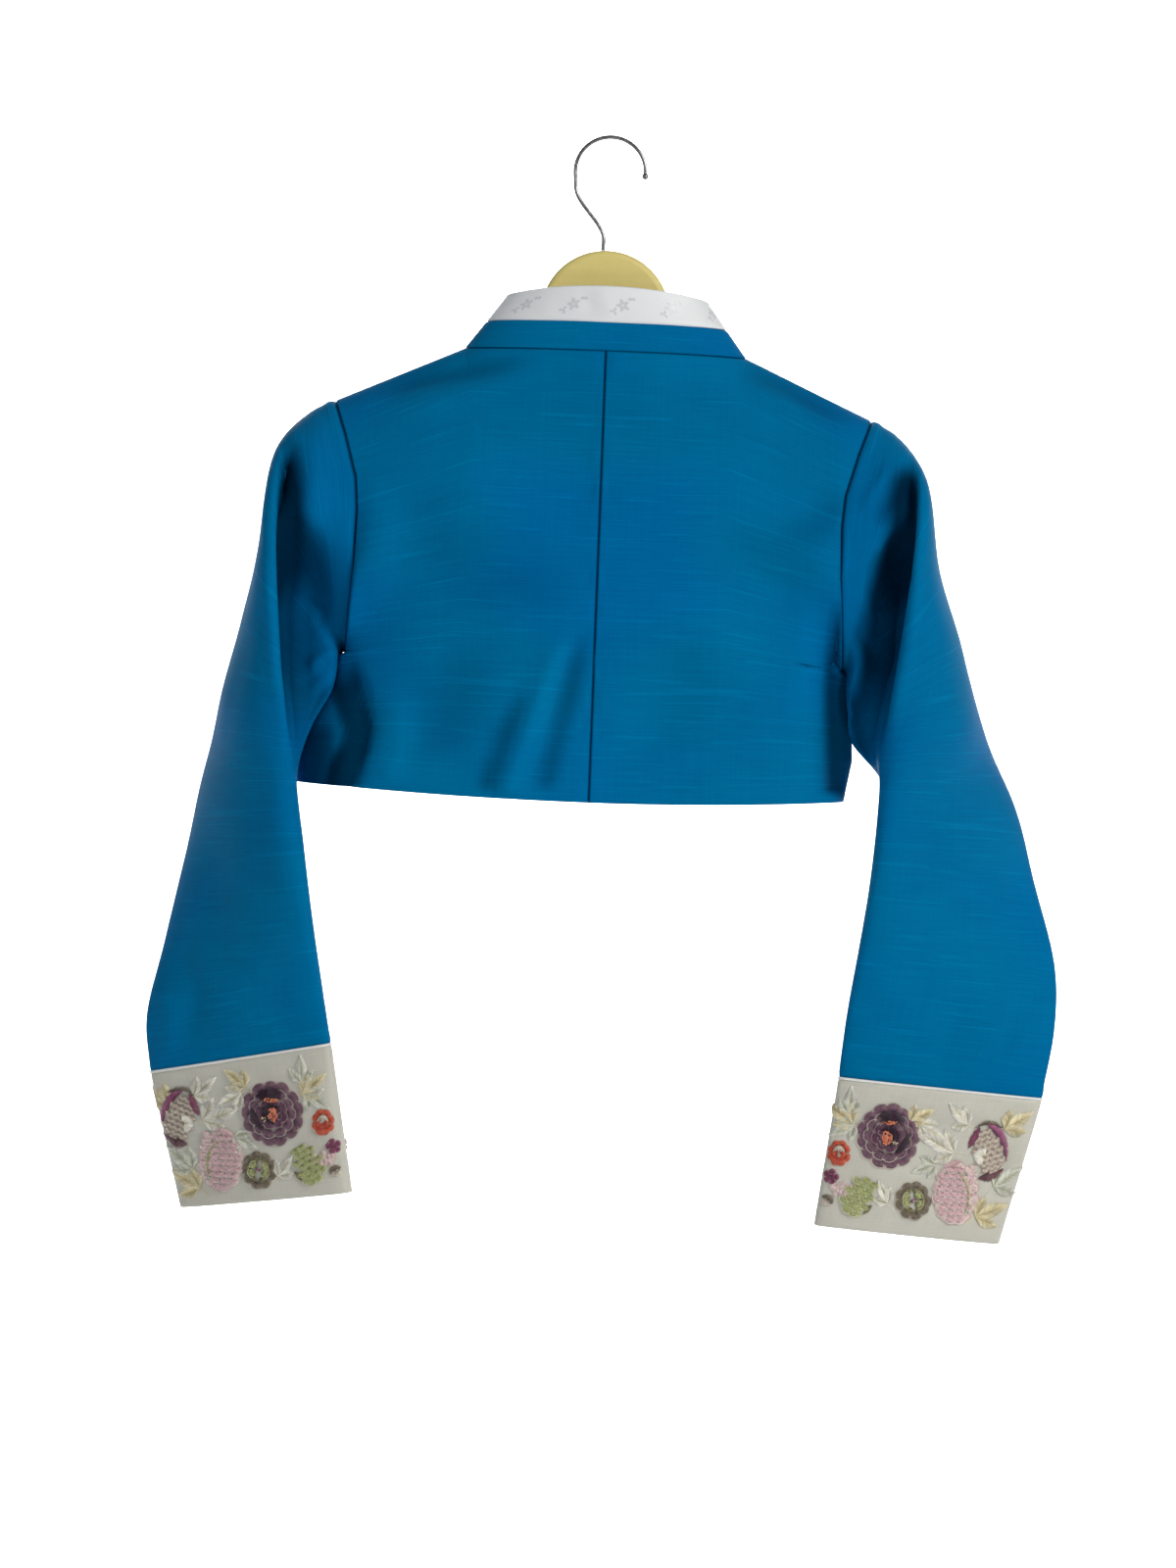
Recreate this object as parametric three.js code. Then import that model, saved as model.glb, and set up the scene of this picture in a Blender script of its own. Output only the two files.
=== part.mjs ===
// A short hanbok jacket (jeogori) on a flat hanger, its back towards -Y. Millimetres, Z up.
// The origin is the underside of the hook's top, where a rail bears.
import * as THREE from "three";

// Driving sizes

const CLOTH = 1.6;
const STIFF_CLOTH = 2.0;
const SEAM = 0.4;
const CENTRE_X = 1.5;
const HALF_SHOULDER = 186;
const SHOULDER_Z = -188.5;
const NECK_POINT = { out: 98, z: -149 };
const BACK_NECK_DEPTH = 35;
const ARMHOLE_HALF_HEIGHT = 87.25;
const ARMHOLE_HALF_DEPTH = 42;
const UNDERARM_Z = SHOULDER_Z - 2 * ARMHOLE_HALF_HEIGHT;
const HEM_SIDE_Z = -453;
const HEM_CENTRE_Z = -460;
const CHEST_HALF_DEPTH = 50;
const HEM_HALF_DEPTH = 54;
const LAP = 1.7;

// How the body's level sections change on the way down: shares of its height, and the exponents of the
// section's curve, which is rounder at the shoulders and boxier below. sidePower keeps the armhole's own
// depth near the side seam.
const BODY_SECTION = {
  fullAt: 0.55, napeEnd: 0.5, changeFrom: 0.1, changeBy: 0.66, sideFrom: 0.35,
  topPower: 2.2, lowPower: 2.8, lowBlunt: 0.42, sidePower: 14,
};

// Grid sizes

const RING_POINTS = 28;
const ARMHOLE_ROWS = RING_POINTS / 2;
const SKIRT_ROWS = 5;
const ROWS_PER_STATION = 2;
const CUFF_ROWS = 4;
const NECK_COLUMNS = 5;
const SHOULDER_COLUMNS = 7;
const FRONT_COLUMNS = 12;
const NAPE_STEPS = 14;
const SURFACE_PASSES = 12;

// Half width of the body from its centre line, by height. The armhole comes first.
const ARMHOLE_EDGE = [
  { z: SHOULDER_Z, out: HALF_SHOULDER },
  { z: -213.6, out: 177 },
  { z: -243, out: 168.5 },
  { z: -265, out: 166.7 },
  { z: -300, out: 167.3 },
  { z: -325, out: 169.5 },
  { z: UNDERARM_Z, out: 172 },
];
const SIDE_SEAM = {
  left: [
    { z: -388, out: 182 },
    { z: -410, out: 195 },
    { z: -425, out: 200 },
    { z: HEM_SIDE_Z, out: 201 },
  ],
  right: [
    { z: -379, out: 173.5 },
    { z: -405, out: 179 },
    { z: -425, out: 182 },
    { z: HEM_SIDE_Z, out: 177 },
  ],
};

// Sections of each sleeve below its armhole. out, y and z are the middle of the section, tilt is the
// angle of its plane above the horizontal, turn is the angle of its long side from the picture plane,
// thick and inner are its half sizes away from the body and towards it, wide is half its long side, blunt
// squares its folded edges, dent is the depth of the valley that runs down beside the back fold, lean moves
// that fold towards the sleeve's outer edge, and tuck moves the cloth behind the valley towards the body.
const SECTION_COLUMNS = [
  "out", "y", "z", "tilt", "turn", "thick", "inner", "wide", "blunt", "dent", "lean", "tuck",
];
const section = (row) => Object.fromEntries(SECTION_COLUMNS.map((name, k) => [name, row[k]]));
const SLEEVE = {
  left: [
    [188.5, 0, -280, 80, 90, 84, 84, 47, 1, 10, 14, 0],
    [200.5, -1, -294, 71, 90, 76, 76, 54, 1, 32, 30, 3],
    [206.5, -2, -332, 55, 90, 48, 50, 60, 0.9, 36, 22, 7],
    [215.5, -2, -365, 33, 88, 36, 38.5, 62, 0.9, 28, 3, 7],
    [229.5, -2, -407, 10, 80, 29, 33, 62, 0.85, 18, -8, 2],
    [236, -2, -450, 0, 65, 22, 22, 63, 0.8, 8, -6.5, 1],
    [238, -3, -500, -5, 54, 18, 18, 65, 0.75, 0, -4, 0],
    [239, -4, -560, -9, 39, 15, 15, 68, 0.7, 0, 0, 0],
    [240, -5, -609, -12, 27, 12, 12, 71, 0.65, 0, 0, 0],
    [234.5, -5, -645.5, -12, 25, 10, 10, 71.5, 0.6, 0, 0, 0],
  ].map(section),
  right: [
    [188.5, 0, -280.5, 80, 90, 84.5, 84.5, 47, 1, 10, 14, 0],
    [199.5, -1, -296, 71, 90, 76, 76, 54, 1, 32, 34, 3],
    [208, -2, -333, 55, 90, 51, 56, 60, 0.9, 38, 12, 7],
    [220, -2, -366, 30, 86, 41, 48, 63, 0.9, 34, -7, 4],
    [237, -2, -405, 8, 70, 31, 53.5, 64, 0.85, 22, -10, 1],
    [248, -2, -446, 0, 48, 21, 21, 66, 0.8, 6, -4, 2],
    [254.5, -3, -500, -2, 34.5, 16, 16, 69, 0.75, 0, 0, 0],
    [259.5, -4, -560, -3, 16, 13, 13, 72, 0.7, 0, 0, 0],
    [257.5, -5, -602, -4, 8, 11, 11, 73.5, 0.65, 0, 0, 0],
    [251.5, -5, -648, -4, 4, 10, 10, 71.7, 0.6, 0, 0, 0],
  ].map(section),
};
// The valley's place round the section, and its steep and easy sides, as angles.
const VALLEY = { at: 0.64 * Math.PI, steep: 0.08 * Math.PI, easy: 0.15 * Math.PI };
const TUCK = { at: 0.84 * Math.PI, spread: 0.1 * Math.PI };

// The open end of each cuff, in the same columns as the sleeve's sections.
const CUFF_END = {
  left: section([213.5, -6, -743.5, -9, 25, 12, 12, 65, 0.65, 0, 0, 0]),
  right: section([232, -6, -750.5, -4, 4, 12, 12, 63, 0.65, 0, 0, 0]),
};
const PIPING = { height: 1.6, stand: 0.5, thick: 2.4 };

// The collar: its blue band and the white strip above it, round the neck and down both front edges.
const COLLAR = {
  bandOut: 83.4, bandY: 31, bandZ: -129.5,
  whiteOut: 69.5, whiteY: 27, whiteZ: -104.5, whiteEndDrop: 6,
  bandNape: 24.5, bandFront: 22, whiteFront: 23,
  crossOut: -42, crossZ: -330,
  whiteReach: 0.84,
};

// Shares of the front collar's length between which it turns from standing at the neck to lying on the
// front, and the direction across it at the neck.
const COLLAR_TURN = {
  narrowBy: 0.2, settleBy: 0.25, lieFrom: 0.08, lieBy: 0.42,
  neckOut: -0.59, neckUp: 0.81, drawIn: 0.005,
};
const LAP_FROM = 0.08;
const LAP_BY = 0.4;
const LAP_ACROSS = { from: 0.15, by: 0.45 };
const FRONT_EDGE = [
  { out: -57, z: -340 },
  { out: -62, z: -457 },
];

// The hanger: a round crown with two arms, which rest below the shoulder cloth.
const HANGER = {
  radius: 45, topZ: -77.5, thick: 12, bevel: 4.5, bevelSteps: 3, crownSteps: 14, rest: 1.1,
  armStart: 49, armEnd: 172, tipOut: 175, tipDrop: 9, heelOut: 168, heelDrop: 20,
  armMiddle: 90, armHeight: 24, bellyOut: 40, bellyDrop: 45,
};

// The hook: a ring of wire that ends in a small ball, and a stem that bends back over the crown.
const HOOK = { radius: 24.5, wire: 1.45, sides: 8, tipAngle: -10, backAngle: 190, angleStep: 20, steps: 44 };
const HOOK_STEM = [
  { x: -23, z: -37 },
  { x: -19.5, z: -44 },
  { x: -7, z: -60 },
  { x: -3.3, z: -67 },
  { x: -3, z: HANGER.topZ + SEAM / 2 },
];
const HOOK_BALL = [
  { run: 0.01, width: 0.35 },
  { run: 2.53, width: 1.4 },
  { run: 5.07, width: 2.3 },
];
const WIRE_FROM = 7.8;

// Small helpers

const mix = (a, b, t) => a + (b - a) * t;
const clamp01 = (t) => Math.min(1, Math.max(0, t));
const signed = (side) => (side === "left" ? -1 : 1);
const degrees = (angle) => (angle * Math.PI) / 180;
const power = (value, exponent) => Math.sign(value) * Math.abs(value) ** exponent;

function smooth(from, to, value) {
  const t = clamp01((value - from) / (to - from));
  return t * t * (3 - 2 * t);
}

function edgeOut(side, z) {
  const rows = [...ARMHOLE_EDGE, ...SIDE_SEAM[side]];
  const last = rows.findIndex((row) => row.z <= z);
  if (last === 0) return rows[0].out;
  if (last < 0) return rows[rows.length - 1].out;
  const [upper, lower] = [rows[last - 1], rows[last]];
  return mix(upper.out, lower.out, (upper.z - z) / (upper.z - lower.z));
}

// The body, by share of the half width and share of the height below the shoulder

const NECK_SHARE = NECK_POINT.out / HALF_SHOULDER;
const outerZ = (down) => mix(SHOULDER_Z, HEM_SIDE_Z, down);
const hemZ = (share) => mix(HEM_CENTRE_Z, HEM_SIDE_Z, share * share);
const shoulderShare = (share) => clamp01((share - NECK_SHARE) / (1 - NECK_SHARE));
const shoulderZ = (share) => mix(NECK_POINT.z, SHOULDER_Z, shoulderShare(share));

function armholeDepth(z) {
  const height = (z - SHOULDER_Z) / ARMHOLE_HALF_HEIGHT + 1;
  return Math.abs(height) < 1 ? ARMHOLE_HALF_DEPTH * Math.sqrt(1 - height * height) : 0;
}

function bodyDepth(share, down, face) {
  const rise = 1 - clamp01(down / BODY_SECTION.fullAt);
  const centre = mix(CHEST_HALF_DEPTH, HEM_HALF_DEPTH, down) * Math.sqrt(1 - rise * rise);
  const edge = armholeDepth(outerZ(down));
  const below = smooth(BODY_SECTION.changeFrom, BODY_SECTION.changeBy, down);
  const nearSide = smooth(BODY_SECTION.sideFrom, BODY_SECTION.changeBy, down);
  const across = Math.min(share, 1);
  const curve = mix(BODY_SECTION.topPower, BODY_SECTION.lowPower, below);
  const section = (1 - across ** curve) ** mix(1, BODY_SECTION.lowBlunt, below);
  const sidePower = mix(BODY_SECTION.topPower, BODY_SECTION.sidePower, nearSide);
  const plain = centre * section + edge * across ** sidePower;
  if (face === "front") return plain;
  const nape = 1 - clamp01(down / BODY_SECTION.napeEnd);
  const neck = BACK_NECK_DEPTH * nape * nape;
  const neckShare = 1 - Math.min(share / NECK_SHARE, 1) ** 2;
  return Math.sqrt(plain * plain + neck * neck * neckShare);
}

function bodyPoint(side, share, down, face) {
  const out = Math.max(share * edgeOut(side, outerZ(down)), SEAM / 2);
  const z = mix(shoulderZ(share), hemZ(share), down);
  const y = Math.max(bodyDepth(share, down, face), SEAM / 2) * (face === "front" ? 1 : -1);
  return new THREE.Vector3(CENTRE_X + signed(side) * out, y, z);
}

// The body's front surface at any place in its outline: out is measured from the centre line.
function frontY(side, out, z) {
  const half = out < 0 ? (side === "left" ? "right" : "left") : side;
  let down = 0.5;
  let share = 0;
  for (let pass = 0; pass < SURFACE_PASSES; pass++) {
    share = Math.abs(out) / edgeOut(half, outerZ(down));
    down = clamp01((shoulderZ(share) - z) / (shoulderZ(share) - hemZ(share)));
  }
  return Math.max(bodyDepth(share, down, "front"), SEAM / 2);
}

function rowShares() {
  const underarm = (SHOULDER_Z - UNDERARM_Z) / (SHOULDER_Z - HEM_SIDE_Z);
  const rows = armholeShares().map((share) => share * underarm);
  for (let row = 1; row <= SKIRT_ROWS; row++) rows.push(mix(underarm, 1, row / SKIRT_ROWS));
  return rows;
}

function armholePoint(side, angle) {
  const z = SHOULDER_Z - ARMHOLE_HALF_HEIGHT * (1 - Math.cos(angle));
  const y = -ARMHOLE_HALF_DEPTH * Math.sin(angle);
  return new THREE.Vector3(CENTRE_X + signed(side) * edgeOut(side, z), y, z);
}

// Which way the cloth faces along the armhole: up and back, and outwards by this much of that.
const ARMHOLE_SPREAD = { top: 0.1, underarm: 0.55 };

function armholeNormal(side, angle) {
  const spread = mix(ARMHOLE_SPREAD.top, ARMHOLE_SPREAD.underarm, (1 - Math.cos(angle)) / 2);
  const back = -Math.sin(angle) / ARMHOLE_HALF_DEPTH;
  const up = Math.cos(angle) / ARMHOLE_HALF_HEIGHT;
  const inPlane = new THREE.Vector3(0, back, up).normalize();
  return inPlane.add(new THREE.Vector3(signed(side) * spread, 0, 0)).normalize();
}

// Closed walls from a grid of outer points

function gridNormals(grid, ringed, inside) {
  const wrap = (row, column) => row[(column + row.length) % row.length];
  const side = (row, column, step) =>
    ringed ? wrap(row, column + step) : row[Math.min(row.length - 1, Math.max(0, column + step))];
  let sign = 0;
  const normals = grid.map((row, i) =>
    row.map((point, j) => {
      const along = side(row, j, 1).clone().sub(side(row, j, -1));
      const lower = grid[Math.min(grid.length - 1, i + 1)][j];
      const down = lower.clone().sub(grid[Math.max(0, i - 1)][j]);
      const normal = along.cross(down).normalize();
      sign += normal.dot(point.clone().sub(inside(row, point)));
      return normal;
    }),
  );
  if (sign < 0) normals.flat().forEach((normal) => normal.negate());
  return normals;
}

function closedWall(grid, normals, thickness, ringed) {
  const sunk = (point, normal) => point.clone().addScaledVector(normal, -thickness);
  const inner = grid.map((row, i) => row.map((point, j) => sunk(point, normals[i][j])));
  const triangles = [];
  const quad = (a, b, c, d) => triangles.push(a, b, c, a, c, d);
  const rows = grid.length;
  const columns = grid[0].length;
  const next = (j) => (j + 1) % columns;
  const last = ringed ? columns : columns - 1;
  for (let j = 0; j < last; j++) {
    for (let i = 0; i + 1 < rows; i++) {
      quad(grid[i][j], grid[i][next(j)], grid[i + 1][next(j)], grid[i + 1][j]);
      quad(inner[i][j], inner[i + 1][j], inner[i + 1][next(j)], inner[i][next(j)]);
    }
    quad(grid[0][j], inner[0][j], inner[0][next(j)], grid[0][next(j)]);
    quad(grid[rows - 1][j], grid[rows - 1][next(j)], inner[rows - 1][next(j)], inner[rows - 1][j]);
  }
  for (let i = 0; i + 1 < rows && !ringed; i++) {
    quad(grid[i][0], grid[i + 1][0], inner[i + 1][0], inner[i][0]);
    quad(grid[i][last], inner[i][last], inner[i + 1][last], grid[i + 1][last]);
  }
  return solidFrom(triangles);
}

function solidFrom(triangles) {
  let volume = 0;
  for (let k = 0; k < triangles.length; k += 3) {
    volume += triangles[k].dot(triangles[k + 1].clone().cross(triangles[k + 2]));
  }
  if (volume < 0) {
    for (let k = 0; k < triangles.length; k += 3) {
      [triangles[k + 1], triangles[k + 2]] = [triangles[k + 2], triangles[k + 1]];
    }
  }
  return new THREE.BufferGeometry().setFromPoints(triangles);
}

// The four body panels

function backColumns() {
  const columns = [];
  const eased = (j, steps) => Math.sin((j / steps) * (Math.PI / 2));
  for (let j = 0; j <= NECK_COLUMNS; j++) columns.push(NECK_SHARE * eased(j, NECK_COLUMNS));
  for (let j = 1; j <= SHOULDER_COLUMNS; j++) columns.push(mix(NECK_SHARE, 1, eased(j, SHOULDER_COLUMNS)));
  return columns;
}

const SHOULDER_NORMAL = { out: 0.41, up: 0.91 };

function shoulderNormal(side) {
  return new THREE.Vector3(signed(side) * SHOULDER_NORMAL.out, 0, SHOULDER_NORMAL.up).normalize();
}

const fromAxis = (row, point) => new THREE.Vector3(CENTRE_X, 0, point.z);

function setOuterEdge(grid, normals, side, columnOf, face) {
  const turn = face === "front" ? -1 : 1;
  grid.forEach((row, i) => {
    const angle = (turn * Math.PI * i) / ARMHOLE_ROWS;
    const edge = columnOf(row);
    const below = i > ARMHOLE_ROWS;
    normals[i][edge] = below ? new THREE.Vector3(signed(side), 0, 0) : armholeNormal(side, angle);
  });
}

function backPanel(side) {
  const columns = backColumns();
  const grid = rowShares().map((down) => columns.map((share) => bodyPoint(side, share, down, "back")));
  const normals = gridNormals(grid, false, fromAxis);
  columns.forEach((share, j) => {
    if (share < NECK_SHARE) normals[0][j].setZ(0).normalize();
    else normals[0][j] = shoulderNormal(side);
  });
  setOuterEdge(grid, normals, side, (row) => row.length - 1, "back");
  return closedWall(grid, normals, CLOTH, false);
}

function armholeShares() {
  const shareOf = (row) => (1 - Math.cos((row / ARMHOLE_ROWS) * Math.PI)) / 2;
  return Array.from({ length: ARMHOLE_ROWS + 1 }, (_, row) => shareOf(row));
}

function frontInnerEdge(row) {
  if (row <= ARMHOLE_ROWS) {
    const share = armholeShares()[row];
    const out = mix(NECK_POINT.out, COLLAR.crossOut, share);
    return { out, z: mix(NECK_POINT.z, COLLAR.crossZ, share) };
  }
  const share = (row - ARMHOLE_ROWS - 1) / (SKIRT_ROWS - 1);
  const [top, hem] = FRONT_EDGE;
  return { out: mix(top.out, hem.out, share), z: mix(top.z, hem.z, share) };
}

// The front that is worn on the outside is lifted by LAP, the one beneath it is sunk by LAP.
const lapSign = (side) => (side === "left" ? 1 : -1);
const collarShare = (z) => clamp01((NECK_POINT.z - z) / (NECK_POINT.z - COLLAR.crossZ));
const lapAt = (side, share) => lapSign(side) * LAP * smooth(LAP_FROM, LAP_BY, share);

function frontPanel(side) {
  const grid = rowShares().map((down, row) => {
    const z = outerZ(down);
    const outer = { out: edgeOut(side, z), z };
    const inner = frontInnerEdge(row);
    const points = [];
    for (let j = 0; j <= FRONT_COLUMNS; j++) {
      const across = 1 - Math.cos((j / FRONT_COLUMNS) * (Math.PI / 2));
      const out = mix(outer.out, inner.out, across);
      const height = mix(outer.z, inner.z, across);
      const lap = lapAt(side, collarShare(height)) * smooth(LAP_ACROSS.from, LAP_ACROSS.by, across);
      const y = j === 0 ? Math.max(armholeDepth(z), SEAM / 2) : frontY(side, out, height);
      points.push(new THREE.Vector3(CENTRE_X + signed(side) * out, y + lap, height));
    }
    return points;
  });
  const normals = gridNormals(grid, false, fromAxis);
  normals[0].forEach((normal) => normal.copy(shoulderNormal(side)));
  setOuterEdge(grid, normals, side, () => 0, "front");
  return closedWall(grid, normals, CLOTH, false);
}

// The collar strips. A strip runs from the wearer's right front end, round the nape, to the left front end.

function napePoint(angle, band, white) {
  const out = mix(mix(NECK_POINT.out, COLLAR.bandOut, band), COLLAR.whiteOut, white);
  const depth = mix(mix(BACK_NECK_DEPTH, COLLAR.bandY, band), COLLAR.whiteY, white);
  const top = COLLAR.whiteZ - COLLAR.whiteEndDrop * Math.sin(angle) ** 2;
  const z = mix(mix(NECK_POINT.z, COLLAR.bandZ, band), top, white);
  return new THREE.Vector3(CENTRE_X + out * Math.sin(angle), -depth * Math.cos(angle), z);
}

function frontCollarPoint(side, share, width) {
  const run = { out: COLLAR.crossOut - NECK_POINT.out, z: COLLAR.crossZ - NECK_POINT.z };
  const length = Math.hypot(run.out, run.z);
  const settle = smooth(0, COLLAR_TURN.settleBy, share);
  const across = {
    out: mix(COLLAR_TURN.neckOut, run.z / length, settle),
    z: mix(COLLAR_TURN.neckUp, -run.out / length, settle),
  };
  const size = Math.hypot(across.out, across.z);
  const base = { out: NECK_POINT.out + run.out * share, z: NECK_POINT.z + run.z * share };
  const out = base.out + (across.out / size) * width;
  const z = base.z + (across.z / size) * width;
  const standing = frontY(side, base.out, base.z) * (1 - COLLAR_TURN.drawIn * width);
  const lying = frontY(side, out, z);
  const laid = smooth(COLLAR_TURN.lieFrom, COLLAR_TURN.lieBy, share);
  const y = mix(standing, lying, laid) + lapAt(side, share);
  return new THREE.Vector3(CENTRE_X + signed(side) * out, y, z);
}

function collarStrip(widthShares, reach, isWhite) {
  const frontWidth = (share, part) => {
    const band = mix(COLLAR.bandNape, COLLAR.bandFront, smooth(0, COLLAR_TURN.narrowBy, share));
    return isWhite ? band + COLLAR.whiteFront * part : band * part;
  };
  const column = (side, share) =>
    widthShares.map((part) => frontCollarPoint(side, share, frontWidth(share, part)));
  const nape = (angle) =>
    widthShares.map((part) => (isWhite ? napePoint(angle, 1, part) : napePoint(angle, part, 0)));
  const napeAngle = (k) => mix(-Math.PI / 2, Math.PI / 2, k / NAPE_STEPS);
  const grid = [];
  const stations = armholeShares().slice(1).filter((share) => share < reach);
  stations.push(reach);
  for (const share of stations.toReversed()) grid.push(column("right", share));
  for (let k = NAPE_STEPS; k >= 0; k--) grid.push(nape(napeAngle(k)));
  for (const share of stations) grid.push(column("left", share));
  const normals = gridNormals(grid, false, fromAxis);
  const onNape = (i) => i >= stations.length && i <= stations.length + NAPE_STEPS;
  normals.forEach((row, i) => onNape(i) && row[0].setZ(0).normalize());
  return closedWall(grid, normals, STIFF_CLOTH, false);
}

// The sleeves and cuffs

function sectionPoint(side, section, angle) {
  const tilt = degrees(section.tilt);
  const turn = degrees(section.turn);
  const outward = new THREE.Vector3(signed(side) * Math.cos(tilt), 0, Math.sin(tilt));
  const away = new THREE.Vector3(0, 1, 0);
  const short = outward.clone().multiplyScalar(Math.sin(turn)).addScaledVector(away, -Math.cos(turn));
  const long = outward.clone().multiplyScalar(-Math.cos(turn)).addScaledVector(away, -Math.sin(turn));
  const fold = (angle - VALLEY.at) / (angle < VALLEY.at ? VALLEY.steep : VALLEY.easy);
  const dent = (section.dent * Math.exp(-fold * fold)) / section.wide;
  const point = new THREE.Vector3(CENTRE_X + signed(side) * section.out, section.y, section.z);
  const lean = section.lean * Math.max(0, Math.sin(angle)) ** 2;
  const half = Math.cos(angle) > 0 ? section.thick : section.inner;
  const tuck = section.tuck * Math.exp(-(((angle - TUCK.at) / TUCK.spread) ** 2));
  point.addScaledVector(short, half * power(Math.cos(angle), section.blunt) + lean - tuck);
  return point.addScaledVector(long, section.wide * (Math.sin(angle) - dent));
}

function ringOf(pointAt) {
  return Array.from({ length: RING_POINTS }, (_, k) => pointAt((2 * Math.PI * k) / RING_POINTS));
}

function splineRings(rings) {
  const fine = [];
  const trackOf = (k) => new THREE.CatmullRomCurve3(rings.map((ring) => ring[k]), false, "centripetal");
  const tracks = rings[0].map((_, k) => trackOf(k));
  const count = (rings.length - 1) * ROWS_PER_STATION;
  for (let i = 0; i <= count; i++) fine.push(tracks.map((track) => track.getPoint(i / count)));
  return fine;
}

function ringCentre(ring) {
  const sum = new THREE.Vector3();
  ring.forEach((point) => sum.add(point));
  return sum.divideScalar(ring.length);
}

function sleeve(side) {
  const seam = new THREE.Vector3(signed(side) * SEAM, 0, 0);
  const start = ringOf((angle) => armholePoint(side, angle).add(seam));
  const stations = SLEEVE[side].map((section) => ringOf((angle) => sectionPoint(side, section, angle)));
  const grid = splineRings([start, ...stations]);
  const normals = gridNormals(grid, true, ringCentre);
  normals[0] = ringOf((angle) => armholeNormal(side, angle));
  return closedWall(grid, normals, CLOTH, true);
}

function cuffRings(side, shares) {
  const top = SLEEVE[side][SLEEVE[side].length - 1];
  const end = CUFF_END[side];
  const topRing = ringOf((angle) => sectionPoint(side, top, angle));
  const endRing = ringOf((angle) => sectionPoint(side, end, angle));
  return shares.map((share) => topRing.map((point, k) => point.clone().lerp(endRing[k], share)));
}

function cuffLength(side) {
  const top = SLEEVE[side][SLEEVE[side].length - 1];
  return Math.hypot(top.out - CUFF_END[side].out, top.z - CUFF_END[side].z);
}

function cuff(side) {
  const first = (PIPING.height + 2 * SEAM) / cuffLength(side);
  const shares = Array.from({ length: CUFF_ROWS + 1 }, (_, k) => mix(first, 1, k / CUFF_ROWS));
  const grid = cuffRings(side, shares);
  return closedWall(grid, gridNormals(grid, true, ringCentre), STIFF_CLOTH, true);
}

function piping(side) {
  const runs = [SEAM, SEAM + PIPING.height / 2, SEAM + PIPING.height];
  const grid = cuffRings(side, runs.map((run) => run / cuffLength(side)));
  const normals = gridNormals(grid, true, ringCentre);
  grid.forEach((row, i) => row.forEach((point, j) => {
    point.addScaledVector(normals[i][j], i === 1 ? PIPING.stand : PIPING.stand / 2);
  }));
  return closedWall(grid, normals, PIPING.thick, true);
}

// The hanger

function armTop(side, out) {
  const slope = (NECK_POINT.z - SHOULDER_Z) / (HALF_SHOULDER - NECK_POINT.out);
  const line = NECK_POINT.z - slope * (out - signed(side) * CENTRE_X - NECK_POINT.out);
  return line - CLOTH / SHOULDER_NORMAL.up - HANGER.rest;
}

function armOutline(side, crownZ) {
  const tipZ = armTop(side, HANGER.armEnd);
  const points = [
    { out: HANGER.armStart, y: armTop(side, HANGER.armStart) },
    { out: HANGER.armEnd, y: tipZ },
    { out: HANGER.tipOut, y: tipZ - HANGER.tipDrop },
    { out: HANGER.heelOut, y: tipZ - HANGER.heelDrop },
    { out: HANGER.armMiddle, y: armTop(side, HANGER.armMiddle) - HANGER.armHeight },
    { out: HANGER.bellyOut, y: crownZ - HANGER.bellyDrop },
  ];
  return points.map((point) => ({ x: signed(side) * point.out, y: point.y }));
}

function hangerBody() {
  const crownZ = HANGER.topZ - HANGER.radius;
  const crown = Array.from({ length: HANGER.crownSteps + 1 }, (_, k) => {
    const angle = mix(0, Math.PI, k / HANGER.crownSteps);
    return { x: HANGER.radius * Math.cos(angle), y: crownZ + HANGER.radius * Math.sin(angle) };
  });
  const points = [...armOutline("right", crownZ).reverse(), ...crown, ...armOutline("left", crownZ)];
  const inset = points.map((point, k) => insetPoint(points, k));
  const outline = new THREE.Shape(inset.map((point) => new THREE.Vector2(point.x, point.y)));
  const flat = HANGER.thick - 2 * HANGER.bevel;
  const geometry = new THREE.ExtrudeGeometry(outline, {
    depth: flat,
    steps: 1,
    bevelEnabled: true,
    bevelThickness: HANGER.bevel,
    bevelSize: HANGER.bevel,
    bevelSegments: HANGER.bevelSteps,
  });
  geometry.translate(0, 0, -flat / 2);
  geometry.rotateX(Math.PI / 2);
  return geometry;
}

// Moves a point of a closed outline inwards, square to its two neighbours, by the hanger's bevel.
function insetPoint(points, k) {
  const point = points[k];
  const before = points[(k + points.length - 1) % points.length];
  const after = points[(k + 1) % points.length];
  const square = (a, b) => {
    const length = Math.hypot(b.x - a.x, b.y - a.y);
    return { x: (b.y - a.y) / length, y: (a.x - b.x) / length };
  };
  const first = square(before, point);
  const second = square(point, after);
  const sum = { x: first.x + second.x, y: first.y + second.y };
  const scale = HANGER.bevel / (1 + first.x * second.x + first.y * second.y);
  return { x: point.x - sum.x * scale, y: point.y - sum.y * scale };
}

function hookPath() {
  const middle = new THREE.Vector3(0, 0, HOOK.wire - HOOK.radius);
  const points = [];
  for (let angle = HOOK.tipAngle; angle <= HOOK.backAngle; angle += HOOK.angleStep) {
    const turn = degrees(angle);
    const spoke = new THREE.Vector3(Math.cos(turn), 0, Math.sin(turn));
    points.push(spoke.multiplyScalar(HOOK.radius).add(middle));
  }
  const stem = HOOK_STEM.map((row) => new THREE.Vector3(row.x, 0, row.z));
  return new THREE.CatmullRomCurve3([...points, ...stem]);
}

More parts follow.
